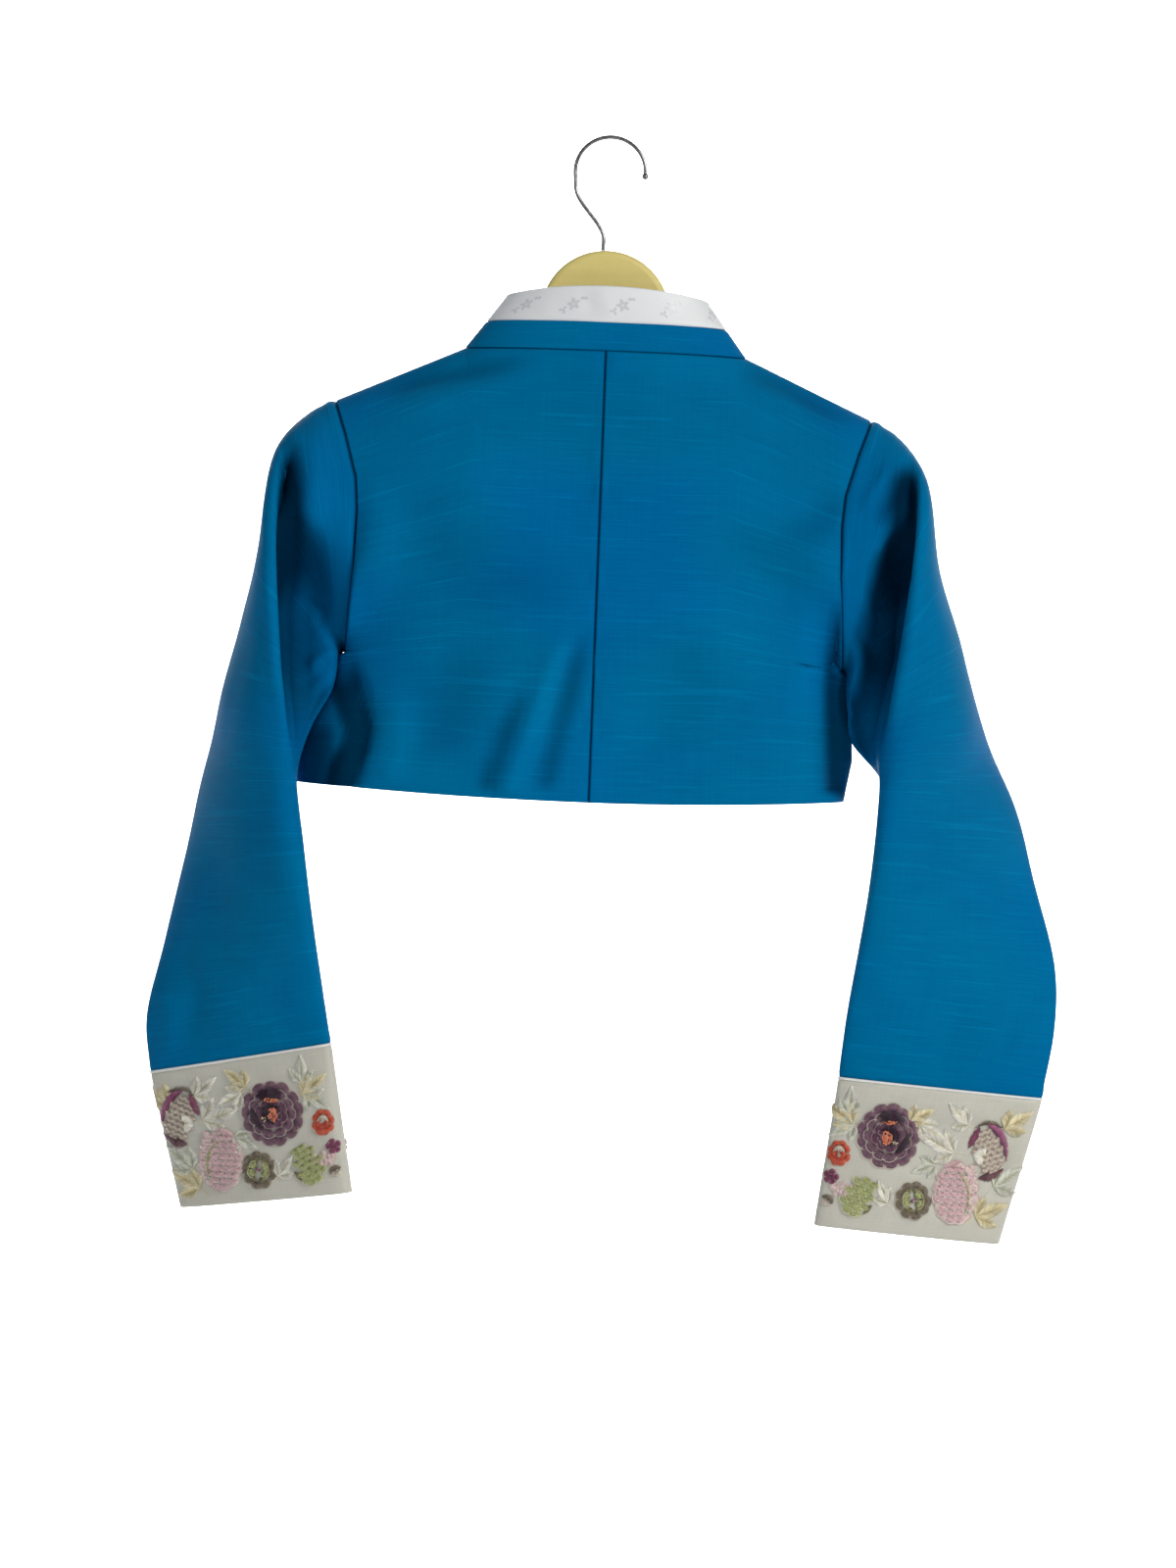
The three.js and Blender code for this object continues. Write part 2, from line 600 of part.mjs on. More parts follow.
function wireRing(path, share, width) {
  const tangent = path.getTangentAt(share);
  const centre = path.getPointAt(share);
  const across = new THREE.Vector3(-tangent.z, 0, tangent.x).normalize();
  return Array.from({ length: HOOK.sides }, (_, j) => {
    const angle = (2 * Math.PI * j) / HOOK.sides;
    const offset = across.clone().multiplyScalar(width * Math.cos(angle));
    return centre.clone().add(offset).add(new THREE.Vector3(0, width * Math.sin(angle), 0));
  });
}

function hook() {
  const path = hookPath();
  const length = path.getLength();
  const rings = HOOK_BALL.map((row) => wireRing(path, row.run / length, row.width));
  for (let k = 0; k <= HOOK.steps; k++) {
    const run = mix(WIRE_FROM, length, k / HOOK.steps);
    rings.push(wireRing(path, Math.min(1, run / length), HOOK.wire));
  }
  return sweptSolid(rings);
}

function sweptSolid(rings) {
  const triangles = [];
  const count = rings[0].length;
  const cap = (ring) => {
    const middle = ringCentre(ring);
    return ring.map((point, j) => [middle, point, ring[(j + 1) % count]]);
  };
  for (let i = 0; i + 1 < rings.length; i++) {
    for (let j = 0; j < count; j++) {
      const next = (j + 1) % count;
      const [a, b, c, d] = [rings[i][j], rings[i][next], rings[i + 1][next], rings[i + 1][j]];
      triangles.push(a, b, c, a, c, d);
    }
  }
  cap(rings[0]).forEach(([middle, a, b]) => triangles.push(middle, b, a));
  cap(rings[rings.length - 1]).forEach(([middle, a, b]) => triangles.push(middle, a, b));
  return solidFrom(triangles);
}

// The scene

const silk = { color: 0x005f96, roughness: 0.5, metalness: 0 };
const cream = { color: 0xc9c3b2, roughness: 0.55, metalness: 0 };
const white = { color: 0xe8e9ea, roughness: 0.4, metalness: 0 };
const paint = { color: 0xcdbb70, roughness: 0.5, metalness: 0 };
const steel = { color: 0x9a9a9c, roughness: 0.25, metalness: 1 };

const jacket = new THREE.Group();

function add(name, geometry, finish) {
  const mesh = new THREE.Mesh(geometry, new THREE.MeshStandardMaterial(finish));
  mesh.name = name;
  jacket.add(mesh);
}

const seamShare = SEAM / COLLAR.bandFront;
add("collar_band", collarStrip([seamShare, 0.5, 1 - seamShare], 1, false), silk);
add("collar_white", collarStrip([seamShare, 0.5, 1], COLLAR.whiteReach, true), white);
for (const side of ["left", "right"]) {
  add(`back_${side}`, backPanel(side), silk);
  add(`front_${side}`, frontPanel(side), silk);
  add(`sleeve_${side}`, sleeve(side), silk);
  add(`cuff_${side}`, cuff(side), cream);
  add(`cuff_piping_${side}`, piping(side), white);
}
add("hanger_body", hangerBody(), paint);
add("hanger_hook", hook(), steel);

export default jacket;
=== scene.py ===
import math
import random

import bpy
import numpy as np
from mathutils import Matrix, Vector


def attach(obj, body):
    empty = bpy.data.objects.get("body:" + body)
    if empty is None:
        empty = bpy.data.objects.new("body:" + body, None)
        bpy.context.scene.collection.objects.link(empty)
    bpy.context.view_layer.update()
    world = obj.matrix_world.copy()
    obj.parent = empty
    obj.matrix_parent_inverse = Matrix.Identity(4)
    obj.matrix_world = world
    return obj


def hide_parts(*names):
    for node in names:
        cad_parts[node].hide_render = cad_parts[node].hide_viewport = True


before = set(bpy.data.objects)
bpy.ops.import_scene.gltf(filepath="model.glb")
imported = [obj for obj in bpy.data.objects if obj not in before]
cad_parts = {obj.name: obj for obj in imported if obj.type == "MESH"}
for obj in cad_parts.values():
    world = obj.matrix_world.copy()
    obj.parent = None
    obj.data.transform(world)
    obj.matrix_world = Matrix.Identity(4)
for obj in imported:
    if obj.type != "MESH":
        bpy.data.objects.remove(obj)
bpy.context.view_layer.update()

# A short hanbok jacket on a flat hanger, its back towards -Y. Sizes are in millimetres until a mesh is
# made, apart from those of the shaders and the studio, which are in metres.

MM = 0.001

# Driving sizes

CLOTH = 1.5
STIFF_CLOTH = 1.9
RIM_ROUND = 0.42
SEAM = 0.12
SEAM_DEPTH = 1.0
SEAM_ROLL = 1.8
UNDERARM_EASE = 8.0
CENTRE_X = 1.5
HALF_SHOULDER = 186.0
SHOULDER_Z = -188.5
NECK_OUT = 98.0
NECK_Z = -149.0
BACK_NECK_DEPTH = 35.0
ARMHOLE_HALF_HEIGHT = 87.25
ARMHOLE_HALF_DEPTH = 42.0
UNDERARM_Z = SHOULDER_Z - 2 * ARMHOLE_HALF_HEIGHT
HEM_SIDE_Z = -453.0
HEM_CENTRE_Z = -460.0
CHEST_HALF_DEPTH = 50.0
HEM_HALF_DEPTH = 54.0
LAP = 1.7

# Half width of the body from its centre line, by height

ARMHOLE_EDGE = [
    {"z": SHOULDER_Z, "out": HALF_SHOULDER},
    {"z": -213.6, "out": 177.0},
    {"z": -243.0, "out": 168.5},
    {"z": -265.0, "out": 166.7},
    {"z": -300.0, "out": 167.3},
    {"z": -325.0, "out": 169.5},
    {"z": UNDERARM_Z, "out": 172.0},
]
SIDE_SEAM = {
    "left": [
        {"z": UNDERARM_Z - 0.3, "out": 176.0},
        {"z": -367.0, "out": 178.0},
        {"z": -388.0, "out": 182.0},
        {"z": -410.0, "out": 195.0},
        {"z": -425.0, "out": 202.0},
        {"z": HEM_SIDE_Z, "out": 204.0},
    ],
    "right": [
        {"z": UNDERARM_Z - 0.3, "out": 175.5},
        {"z": -370.0, "out": 177.0},
        {"z": -379.0, "out": 177.5},
        {"z": -405.0, "out": 181.0},
        {"z": -425.0, "out": 182.0},
        {"z": HEM_SIDE_Z, "out": 177.0},
    ],
}

# Sections of each sleeve below its armhole: middle, the plane's tilt, turn of the long side from the picture
# plane, half thickness on the first and the second half of the ring, half width, roundness of the folded
# edges (1 is an ellipse, less is squarer), depth of the valley, lean of the back fold, depth of the tuck

COLUMNS = ("out", "y", "z", "tilt", "turn", "thick", "inner", "wide", "blunt", "dent", "lean", "tuck")
SLEEVE = {
    "left": [
        (188.5, 0, -280, 80, 90, 84, 84, 47, 1, 10, 14, 0),
        (200.5, -1, -294, 71, 90, 76, 76, 54, 1, 32, 30, 3),
        (206.5, -2, -332, 55, 90, 48, 50, 60, 0.9, 36, 22, 7),
        (215.5, -2, -365, 33, 88, 36, 38.5, 62, 0.9, 28, 3, 7),
        (229.5, -2, -407, 10, 80, 29, 33, 62, 0.85, 18, -8, 2),
        (236, -2, -450, 0, 65, 22, 22, 63, 0.8, 8, -6.5, 1),
        (238, -3, -500, -5, 54, 18, 18, 65, 0.75, 0, -4, 0),
        (239, -4, -560, -9, 39, 15, 15, 68, 0.7, 0, 0, 0),
        (240, -5, -609, -12, 27, 12, 12, 71, 0.65, 0, 0, 0),
        (234.5, -5, -645.5, -12, 25, 10, 10, 71.5, 0.6, 0, 0, 0),
    ],
    "right": [
        (188.5, 0, -280.5, 80, 90, 84.5, 84.5, 47, 1, 10, 14, 0),
        (199.5, -1, -296, 71, 90, 76, 76, 54, 1, 32, 34, 3),
        (208, -2, -333, 55, 90, 51, 56, 60, 0.9, 38, 12, 7),
        (220, -2, -366, 30, 86, 41, 48, 63, 0.9, 34, -7, 4),
        (237, -2, -405, 8, 70, 31, 53.5, 64, 0.85, 22, -10, 1),
        (248, -2, -446, 0, 48, 21, 21, 66, 0.8, 6, -4, 2),
        (254.5, -3, -500, -2, 34.5, 16, 16, 69, 0.75, 0, 0, 0),
        (259.5, -4, -560, -3, 16, 13, 13, 72, 0.7, 0, 0, 0),
        (257.5, -5, -602, -4, 8, 11, 11, 73.5, 0.65, 0, 0, 0),
        (251.5, -5, -648, -4, 4, 10, 10, 71.7, 0.6, 0, 0, 0),
    ],
}
VALLEY_AT = 0.64 * math.pi
VALLEY_STEEP = 0.08 * math.pi
VALLEY_EASY = 0.15 * math.pi
TUCK_AT = 0.84 * math.pi
TUCK_SPREAD = 0.1 * math.pi
CUFF_END = {
    "left": (213.5, -6, -743.5, -9, 25, 12, 12, 67, 0.65, 0, 0, 0),
    "right": (232, -6, -750.5, -4, 4, 12, 12, 65, 0.65, 0, 0, 0),
}
PIPING_HEIGHT = 1.6
PIPING_GAP = 0.4

COLLAR = {
    "band_out": 83.4, "band_y": 31.0, "band_z": -129.5,
    "white_out": 69.5, "white_y": 27.0, "white_z": -104.5, "white_end_drop": 6.0,
    "band_nape": 24.5, "band_front": 22.0, "white_front": 23.0,
    "cross_out": -42.0, "cross_z": -330.0, "white_reach": 0.84,
}
FRONT_EDGE = [(-57.0, -340.0), (-62.0, -457.0)]

HANGER = {
    "radius": 45.0, "top_z": -77.5, "thick": 12.0, "bevel": 4.5, "under_cloth": 1.6, "rest": 1.1,
    "neck_gap": 4.0, "arm_end": 172.0, "tip_out": 3.0, "tip_drop": 9.0, "end_back": 4.0, "end_drop": 20.0,
    "under_out": 90.0, "arm_height": 24.0, "foot_out": 40.0, "foot_drop": 45.0,
}
HOOK = {
    "radius": 24.5, "wire": 1.45, "ball": 2.3, "tip_angle": -10, "last_angle": 190,
    "neck": [(-23.0, -37.0), (-19.5, -44.0), (-7.0, -60.0), (-3.3, -67.0)], "foot_x": -3.0,
}

# The photograph's scale and the place of the hook's top in it

PHOTO_SIZE = (1200, 1600)
PHOTO_MM = 0.68
PHOTO_PIVOT = (622, 142)
PHOTO_LEAN = math.radians(2.2)


def from_photo(across, down):
    """Gives the place in the object's X and Z, in millimetres, of a point of the photograph."""
    dx = across - PHOTO_PIVOT[0]
    dy = down - PHOTO_PIVOT[1]
    x = PHOTO_MM * (math.cos(PHOTO_LEAN) * dx + math.sin(PHOTO_LEAN) * dy) - CENTRE_X
    z = -PHOTO_MM * (math.cos(PHOTO_LEAN) * dy - math.sin(PHOTO_LEAN) * dx)
    return x, z


# Small helpers

def mix(a, b, t):
    return a + (b - a) * t


def smooth(low, high, value):
    t = np.clip((np.asarray(value, dtype=float) - low) / (high - low), 0, 1)
    return t * t * (3 - 2 * t)


def signed(side):
    return -1.0 if side == "left" else 1.0


def unit(vectors):
    length = np.linalg.norm(vectors, axis=-1, keepdims=True)
    return vectors / np.maximum(length, 1e-9)


def eased(count, ends=0.85):
    """Gives count + 1 shares from 0 to 1 that stand closer together at both ends."""
    t = np.linspace(0, 1, count + 1)
    return t - ends * np.sin(2 * math.pi * t) / (2 * math.pi)


def edge_out(side, z):
    rows = ARMHOLE_EDGE + SIDE_SEAM[side]
    heights = [row["z"] for row in rows][::-1]
    outs = [row["out"] for row in rows][::-1]
    return np.interp(z, heights, outs)


# The body

NECK_SHARE = NECK_OUT / HALF_SHOULDER
CALM_FROM_Z = -290.0
UNDERARM_SOFTENING = (-12, -8, -4, 0, 4, 8, 12)
SOFTENING_POWER = 40
SIDE_POWER = 14
WIDTH_POWER = 13
SEARCH_ROUNDS = 12

# Shares of the way down the body, and the section's form at the top and the bottom of each stretch

DEEPEST_SHARE = 0.55
NAPE_SHARE = 0.5
SQUARER = (0.1, 0.66)
SIDE_FORMS = (0.35, 0.66)
SECTION_POWER = (2.2, 2.8)
SECTION_ROOT = (1.0, 0.42)
EDGE_POWER = (2.2, 14.0)
ARMHOLE_SPREAD = (0.1, 0.55)


def calm_out(side, z):
    """The body's half width without the side seam's own shape below the arm."""
    ends = (HEM_SIDE_Z, CALM_FROM_Z)
    straight = np.interp(z, ends, [edge_out(side, end) for end in ends])
    return np.where(z > CALM_FROM_Z, edge_out(side, z), straight)


def panel_out(side, share, z):
    """Distance from the centre line; the side seam's own shape stays near the side."""
    calm = calm_out(side, z)
    return share * calm + share ** SIDE_POWER * (edge_out(side, z) - calm)


def half_width(side, out, z):
    """The width that a place's share of the body is taken from, so that the share is 1 at the side seam."""
    edge = edge_out(side, z)
    return mix(calm_out(side, z), edge, np.clip(out / edge, 0, 1) ** WIDTH_POWER)


def outer_z(down):
    return mix(SHOULDER_Z, HEM_SIDE_Z, down)


def hem_z(share):
    return mix(HEM_CENTRE_Z, HEM_SIDE_Z, share * share)


def shoulder_z(share):
    return mix(NECK_Z, SHOULDER_Z, np.clip((share - NECK_SHARE) / (1 - NECK_SHARE), 0, 1))


def armhole_depth(z):
    height = (z - SHOULDER_Z) / ARMHOLE_HALF_HEIGHT + 1
    return ARMHOLE_HALF_DEPTH * np.sqrt(np.clip(1 - height * height, 0, 1))


def softened_armhole(z):
    """The armhole's depth as a mean over a few heights, without its sudden end at the underarm."""
    depths = [armhole_depth(z + rise) for rise in UNDERARM_SOFTENING]
    return sum(depths) / len(depths)


def body_depth(share, down, face):
    """Distance from the middle plane to the front or the back, by share of the width and of the way down."""
    rise = 1 - np.clip(down / DEEPEST_SHARE, 0, 1)
    centre = mix(CHEST_HALF_DEPTH, HEM_HALF_DEPTH, down) * np.sqrt(1 - rise * rise)
    below = smooth(*SQUARER, down)
    near_side = smooth(*SIDE_FORMS, down)
    inside = np.minimum(share, 1)
    height = outer_z(down)
    inner_share = near_side * (1 - inside ** SOFTENING_POWER)
    edge = mix(armhole_depth(height), softened_armhole(height), inner_share)
    section = (1 - inside ** mix(*SECTION_POWER, below)) ** mix(*SECTION_ROOT, below)
    plain = centre * section + edge * inside ** mix(*EDGE_POWER, near_side)
    if face == "front":
        return plain
    nape = 1 - np.clip(down / NAPE_SHARE, 0, 1)
    neck = BACK_NECK_DEPTH * nape * nape
    across = 1 - np.minimum(share / NECK_SHARE, 1) ** 2
    return np.sqrt(plain * plain + neck * neck * across)


def front_y(side, out, z):
    """The front surface at any place in the body's outline, out being measured from the centre line."""
    other = "right" if side == "left" else "left"
    share = np.zeros_like(out)
    down = np.full_like(out, 0.5)
    for _ in range(SEARCH_ROUNDS):
        height = outer_z(down)
        half = np.where(out < 0, half_width(other, -out, height), half_width(side, out, height))
        share = np.abs(out) / half
        down = np.clip((shoulder_z(share) - z) / (shoulder_z(share) - hem_z(share)), 0, 1)
    return np.maximum(body_depth(share, down, "front"), SEAM)


def armhole_points(side, angles):
    z = SHOULDER_Z - ARMHOLE_HALF_HEIGHT * (1 - np.cos(angles))
    y = -ARMHOLE_HALF_DEPTH * np.sin(angles)
    x = CENTRE_X + signed(side) * edge_out(side, z)
    return np.stack([x, y, z], axis=-1)


def armhole_normals(side, angles):
    spread = mix(*ARMHOLE_SPREAD, (1 - np.cos(angles)) / 2)
    back = -np.sin(angles) / ARMHOLE_HALF_DEPTH
    up = np.cos(angles) / ARMHOLE_HALF_HEIGHT
    plane = unit(np.stack([np.zeros_like(back), back, up], axis=-1))
    plane[..., 0] = signed(side) * spread
    return unit(plane)


# Folds and creases, drawn as strokes on the photograph. Depth is in millimetres and negative for a trough,
# dark is painted shade, how much the silk's colour is darkened in a fold that light hardly reaches, and a
# negative dark is a painted highlight on a ridge. width is half of a fold's width. left_share widens or
# narrows the side to the left of the stroke's run, fade and fade_end are the shares of its length over which
# it dies away, and a high power gives it a crisp edge.

PLAIN_STROKE = {"left_share": 1.0, "fade": 0.3, "fade_end": 0.3, "power": 2}


def nearest_on(path, flat):
    """For each flat point: its distance from the path, how far along that is, and on which side it lies."""
    lengths = [np.linalg.norm(b - a) for a, b in zip(path, path[1:])]
    run = sum(lengths)
    nearest = np.full(flat.shape[:-1], 1e9)
    along = np.zeros(nearest.shape)
    side_of = np.zeros(nearest.shape)
    start = 0.0
    for a, b, length in zip(path, path[1:], lengths):
        step = (b - a) / length
        t = np.clip(((flat - a) @ step) / length, 0, 1)
        offset = flat - (a + t[..., None] * (b - a))
        distance = np.linalg.norm(offset, axis=-1)
        closer = distance < nearest
        cross = step[0] * offset[..., 1] - step[1] * offset[..., 0]
        nearest = np.where(closer, distance, nearest)
        along = np.where(closer, (start + t * length) / run, along)
        side_of = np.where(closer, cross, side_of)
        start += length
    return nearest, along, side_of


def stroke_field(points, strokes, column):
    """Sums one column of the strokes at each point, by its distance from them in the picture plane."""
    total = np.zeros(points.shape[:-1])
    for row in strokes:
        if column not in row:
            continue
        stroke = {**PLAIN_STROKE, **row}
        path = [np.array(from_photo(*place)) for place in stroke["path"]]
        nearest, along, side_of = nearest_on(path, points[..., [0, 2]])
        wide = stroke["width"] * np.where(side_of > 0, stroke["left_share"], 1.0)
        taper = smooth(0, stroke["fade"], along) * (1 - smooth(1 - stroke["fade_end"], 1, along))
        total += stroke[column] * np.exp(-(nearest / wide) ** stroke["power"]) * taper
    return total


BACK_STROKES = [
    {"path": [(352, 668), (372, 708), (378, 745), (362, 803)],
     "depth": -5, "width": 9, "left_share": 0.5, "fade": 0.15, "fade_end": 0.02},
    # These two paint shadow alone, with no fold in the cloth: the dark lens beside the left side seam, below
    # the arm.
    {"path": [(345, 672), (356, 712), (367, 742), (365, 760), (352, 790), (348, 812)],
     "dark": 0.85, "width": 10.5, "power": 6, "fade": 0.25, "fade_end": 0.01},
    {"path": [(320, 730), (330, 770), (324, 812)],
     "dark": 0.6, "width": 12, "power": 3, "fade_end": 0.01},
    {"path": [(400, 690), (408, 745), (398, 803)],
     "depth": 3, "dark": -0.2, "width": 11, "fade": 0.4, "fade_end": 0.1},
    {"path": [(582, 635), (556, 700), (516, 812)],
     "depth": 4.2, "dark": -0.35, "width": 8, "fade_end": 0.05},
    {"path": [(596, 640), (580, 700), (552, 812)],
     "depth": -3.4, "dark": 0.3, "width": 7, "fade_end": 0.1},
    {"path": [(544, 690), (516, 750), (494, 812)],
     "depth": -3.0, "dark": 0.35, "width": 8, "fade": 0.4, "fade_end": 0.1},
    {"path": [(480, 640), (470, 700), (440, 790)], "depth": -1.6, "dark": 0.14, "width": 20, "fade": 0.4},
    {"path": [(372, 408), (440, 386), (560, 368)],
     "depth": -3.0, "dark": 0.25, "width": 7, "fade_end": 0.4},
    {"path": [(390, 432), (470, 412), (560, 384)],
     "depth": 1.6, "dark": -0.15, "width": 8, "fade": 0.4, "fade_end": 0.4},
    {"path": [(372, 470), (392, 540), (388, 640)],
     "depth": 1.8, "dark": -0.2, "width": 13, "fade": 0.4, "fade_end": 0.4},
    {"path": [(430, 620), (520, 600), (600, 606)], "depth": -1.4, "dark": 0.12, "width": 18, "fade": 0.4},
    {"path": [(420, 470), (450, 540), (440, 610)],
     "depth": -1.2, "dark": 0.1, "width": 22, "fade": 0.4, "fade_end": 0.4},
    {"path": [(856, 600), (852, 700), (854, 812)],
     "depth": -5, "dark": 0.7, "width": 9, "fade_end": 0.02},
    {"path": [(826, 560), (822, 660), (818, 760)], "depth": 2.8, "dark": -0.3, "width": 12, "fade": 0.4},
    {"path": [(866, 500), (832, 540), (770, 560)],
     "depth": -1.8, "dark": 0.2, "width": 12, "fade_end": 0.5},
    {"path": [(640, 560), (720, 640), (800, 700)],
     "depth": 1.2, "dark": -0.1, "width": 22, "fade": 0.4, "fade_end": 0.4},
    {"path": [(660, 800), (700, 700), (700, 560)],
     "depth": -1.4, "dark": 0.06, "width": 20, "fade_end": 0.5},
    {"path": [(744, 372), (800, 396), (872, 436)], "depth": -2.2, "dark": 0.2, "width": 7},
]
SLEEVE_STROKES = {
    "left": [
        {"path": [(293, 446), (292, 500), (292, 560), (294, 620), (297, 680), (302, 740), (308, 790)],
         "depth": -11, "dark": 1.3, "width": 2.6, "left_share": 4.0, "fade": 0.1, "fade_end": 0.4},
        # Painted shadow alone, deepening the valley down the sleeve beside its ridge.
        {"path": [(296, 462), (292, 500), (292, 560), (293, 630)],
         "dark": 0.9, "width": 2.4, "left_share": 6.5, "power": 4, "fade_end": 0.35},
        {"path": [(283, 450), (279, 531), (281, 610), (287, 689), (296, 756), (305, 801)],
         "depth": 2.6, "dark": -0.2, "width": 5, "fade": 0.25},
        {"path": [(336, 690), (330, 740), (328, 790)],
         "depth": -3, "dark": 0.5, "width": 8, "fade_end": 0.1},
        {"path": [(308, 604), (322, 618), (338, 634)], "depth": -2.4, "width": 4},
        {"path": [(320, 628), (334, 640), (350, 652)], "depth": -2.2, "width": 4},
        {"path": [(312, 684), (330, 672), (348, 662)], "depth": 3.2, "width": 4.5},
        {"path": [(306, 700), (326, 688), (344, 678)], "depth": -2.6, "width": 4},
        {"path": [(300, 440), (296, 480), (292, 520)], "depth": -3.0, "width": 6},
        {"path": [(330, 420), (322, 470), (330, 540)], "depth": 2.0, "width": 8},
        {"path": [(262, 620), (240, 700), (214, 800)], "depth": -1.4, "width": 10},
        {"path": [(290, 760), (286, 840), (300, 930)], "depth": 1.3, "width": 9},
        {"path": [(230, 830), (220, 920), (235, 1010)], "depth": -1.6, "width": 14},
        {"path": [(176, 960), (200, 1010), (196, 1075)], "depth": -2.2, "width": 9},
        {"path": [(160, 1000), (172, 1040), (168, 1090)], "depth": 1.6, "width": 7},
        {"path": [(300, 960), (280, 1010), (290, 1070)], "depth": -1.0, "width": 14},
    ],
    "right": [
        {"path": [(931, 466), (926, 531), (920, 588), (911, 644), (898, 723), (888, 790)],
         "depth": -11, "dark": 1.3, "width": 10, "left_share": 0.26, "fade": 0.1, "fade_end": 0.4},
        # Painted shadow alone, deepening the valley down the sleeve beside its ridge.
        {"path": [(930, 470), (926, 531), (920, 588), (913, 640)],
         "dark": 0.9, "width": 15, "left_share": 0.16, "power": 4, "fade_end": 0.35},
        {"path": [(941, 470), (937, 531), (931, 588), (923, 644), (909, 723), (897, 801)],
         "depth": 2.6, "dark": -0.2, "width": 5, "fade": 0.25},
        {"path": [(868, 690), (872, 740), (876, 790)],
         "depth": -3, "dark": 0.5, "width": 7, "fade_end": 0.1},
        {"path": [(926, 470), (906, 505), (886, 545)], "depth": -3.0, "dark": 0.3, "width": 5},
        {"path": [(912, 470), (892, 500), (874, 530)], "depth": 2.0, "width": 5},
        {"path": [(920, 530), (900, 570), (880, 596)], "depth": -2.4, "width": 5},
        {"path": [(868, 640), (886, 660), (904, 690)], "depth": -2.4, "width": 5},
        {"path": [(866, 604), (880, 616), (898, 640)], "depth": 1.6, "width": 5},
        {"path": [(950, 600), (962, 700), (990, 800)], "depth": 1.6, "width": 11},
        {"path": [(930, 700), (940, 820), (950, 940)], "depth": -1.4, "width": 13},
        {"path": [(1030, 860), (1044, 930), (1040, 1010)], "depth": -1.8, "width": 11},
        {"path": [(900, 900), (910, 980), (900, 1060)], "depth": 1.2, "width": 12},
        {"path": [(1072, 1000), (1040, 1030), (1010, 1090)], "depth": -1.6, "width": 8},
        {"path": [(980, 1000), (970, 1050), (975, 1100)], "depth": -1.0, "width": 12},
    ],
}
CUFF_STROKES = {
    "left": [
        {"path": [(140, 1128), (170, 1124), (205, 1110)], "depth": -2.2, "width": 5},
        {"path": [(150, 1168), (190, 1162), (236, 1150)], "depth": -2.0, "width": 5},
        {"path": [(168, 1190), (220, 1216), (262, 1218)], "depth": -1.6, "width": 6},
        {"path": [(240, 1090), (262, 1110), (300, 1104)], "depth": 1.0, "width": 8},
        {"path": [(330, 1080), (334, 1130), (348, 1200)], "depth": 1.4, "width": 7},
    ],
    "right": [
        {"path": [(870, 1240), (930, 1236), (1000, 1250)], "depth": 1.6, "width": 6},
        {"path": [(900, 1124), (960, 1128), (1040, 1142)], "depth": 1.2, "width": 6},
        {"path": [(1040, 1150), (1020, 1190), (1012, 1240)], "depth": -1.6, "width": 6},
        {"path": [(930, 1130), (945, 1180), (930, 1240)], "depth": -1.0, "width": 9},
    ],
}
WHITE_STROKES = [
    {"path": [(590, 300), (604, 316), (600, 330)], "depth": -1.0, "width": 3.5},
    {"path": [(606, 296), (620, 312), (622, 330)], "depth": 0.8, "width": 4},
    {"path": [(556, 298), (560, 330)], "depth": 0.5, "width": 6},
    {"path": [(700, 304), (690, 332)], "depth": -0.6, "width": 5},
]


SEEDS = {
    "left": {"back": 11, "front": 21, "sleeve": 31, "cuff": 41, "stitches": 61},
    "right": {"back": 12, "front": 22, "sleeve": 32, "cuff": 42, "stitches": 62},
}
COLLAR_SEEDS = {"white": 5, "band": 6}
WAVES = 7
CLOTH_WAVE_LENGTH = 120.0
COLLAR_WAVE_LENGTH = 60.0
HIDDEN_SHIFT = np.array([9.0, 0.0, 16.0])
HIDDEN_SHARE = 0.8
SHOWN_FACING = (-0.1, 0.5)
HIDDEN_FACING = (0.05, 0.6)
# Painted shade: its range, from painted highlight to full shade, and how much is painted where the cloth
# drops at a seam.
SHADE_RANGE = (-0.5, 1)
SEAM_PAINTED_SHADE = 0.85


def gentle_waves(points, seed, height, size):
    """A sum of long sine waves with seeded directions, for the cloth's soft unevenness."""
    dice = random.Random(seed)
    total = np.zeros(points.shape[:-1])
    for _ in range(WAVES):
        wave = size * dice.uniform(0.6, 1.7)
        turn = dice.uniform(0, math.pi)
        lean = dice.uniform(0.3, 0.9)
        run = points[..., 0] * math.cos(turn) + points[..., 2] * math.sin(turn) * lean
        total += np.sin(run * 2 * math.pi / wave + points[..., 1] * 0.02 + dice.uniform(0, 6.28))
    return total * height / WAVES


def on_both_sides(grid, normals, strokes, column):
    """The strokes on the shown side, and the same ones on the hidden side, weaker and a little moved."""
    facing = smooth(*SHOWN_FACING, -normals[..., 1])
    hidden = smooth(*HIDDEN_FACING, normals[..., 1])
    shown = stroke_field(grid, strokes, column)
    unseen = HIDDEN_SHARE * stroke_field(grid + HIDDEN_SHIFT, strokes, column)
    return shown * facing + unseen * hidden


def fold_height(grid, normals, strokes, seed, waves):
    """How far each outer point moves along its normal."""
    folds = on_both_sides(grid, normals, strokes, "depth")
    return folds + gentle_waves(grid, seed, waves, CLOTH_WAVE_LENGTH)


def painted_fold_shade(grid, normals, strokes, drop):
    """Painted shade at each point, in folds and where the cloth drops at a seam; negative values paint a
    highlight.
    """
    shade = on_both_sides(grid, normals, strokes, "dark")
    return np.clip(shade + drop / SEAM_DEPTH * SEAM_PAINTED_SHADE, *SHADE_RANGE)


# Meshes from grids

def put_in_scene(name, data):
    piece = bpy.data.objects.new(name, data)
    bpy.context.scene.collection.objects.link(piece)
    return piece


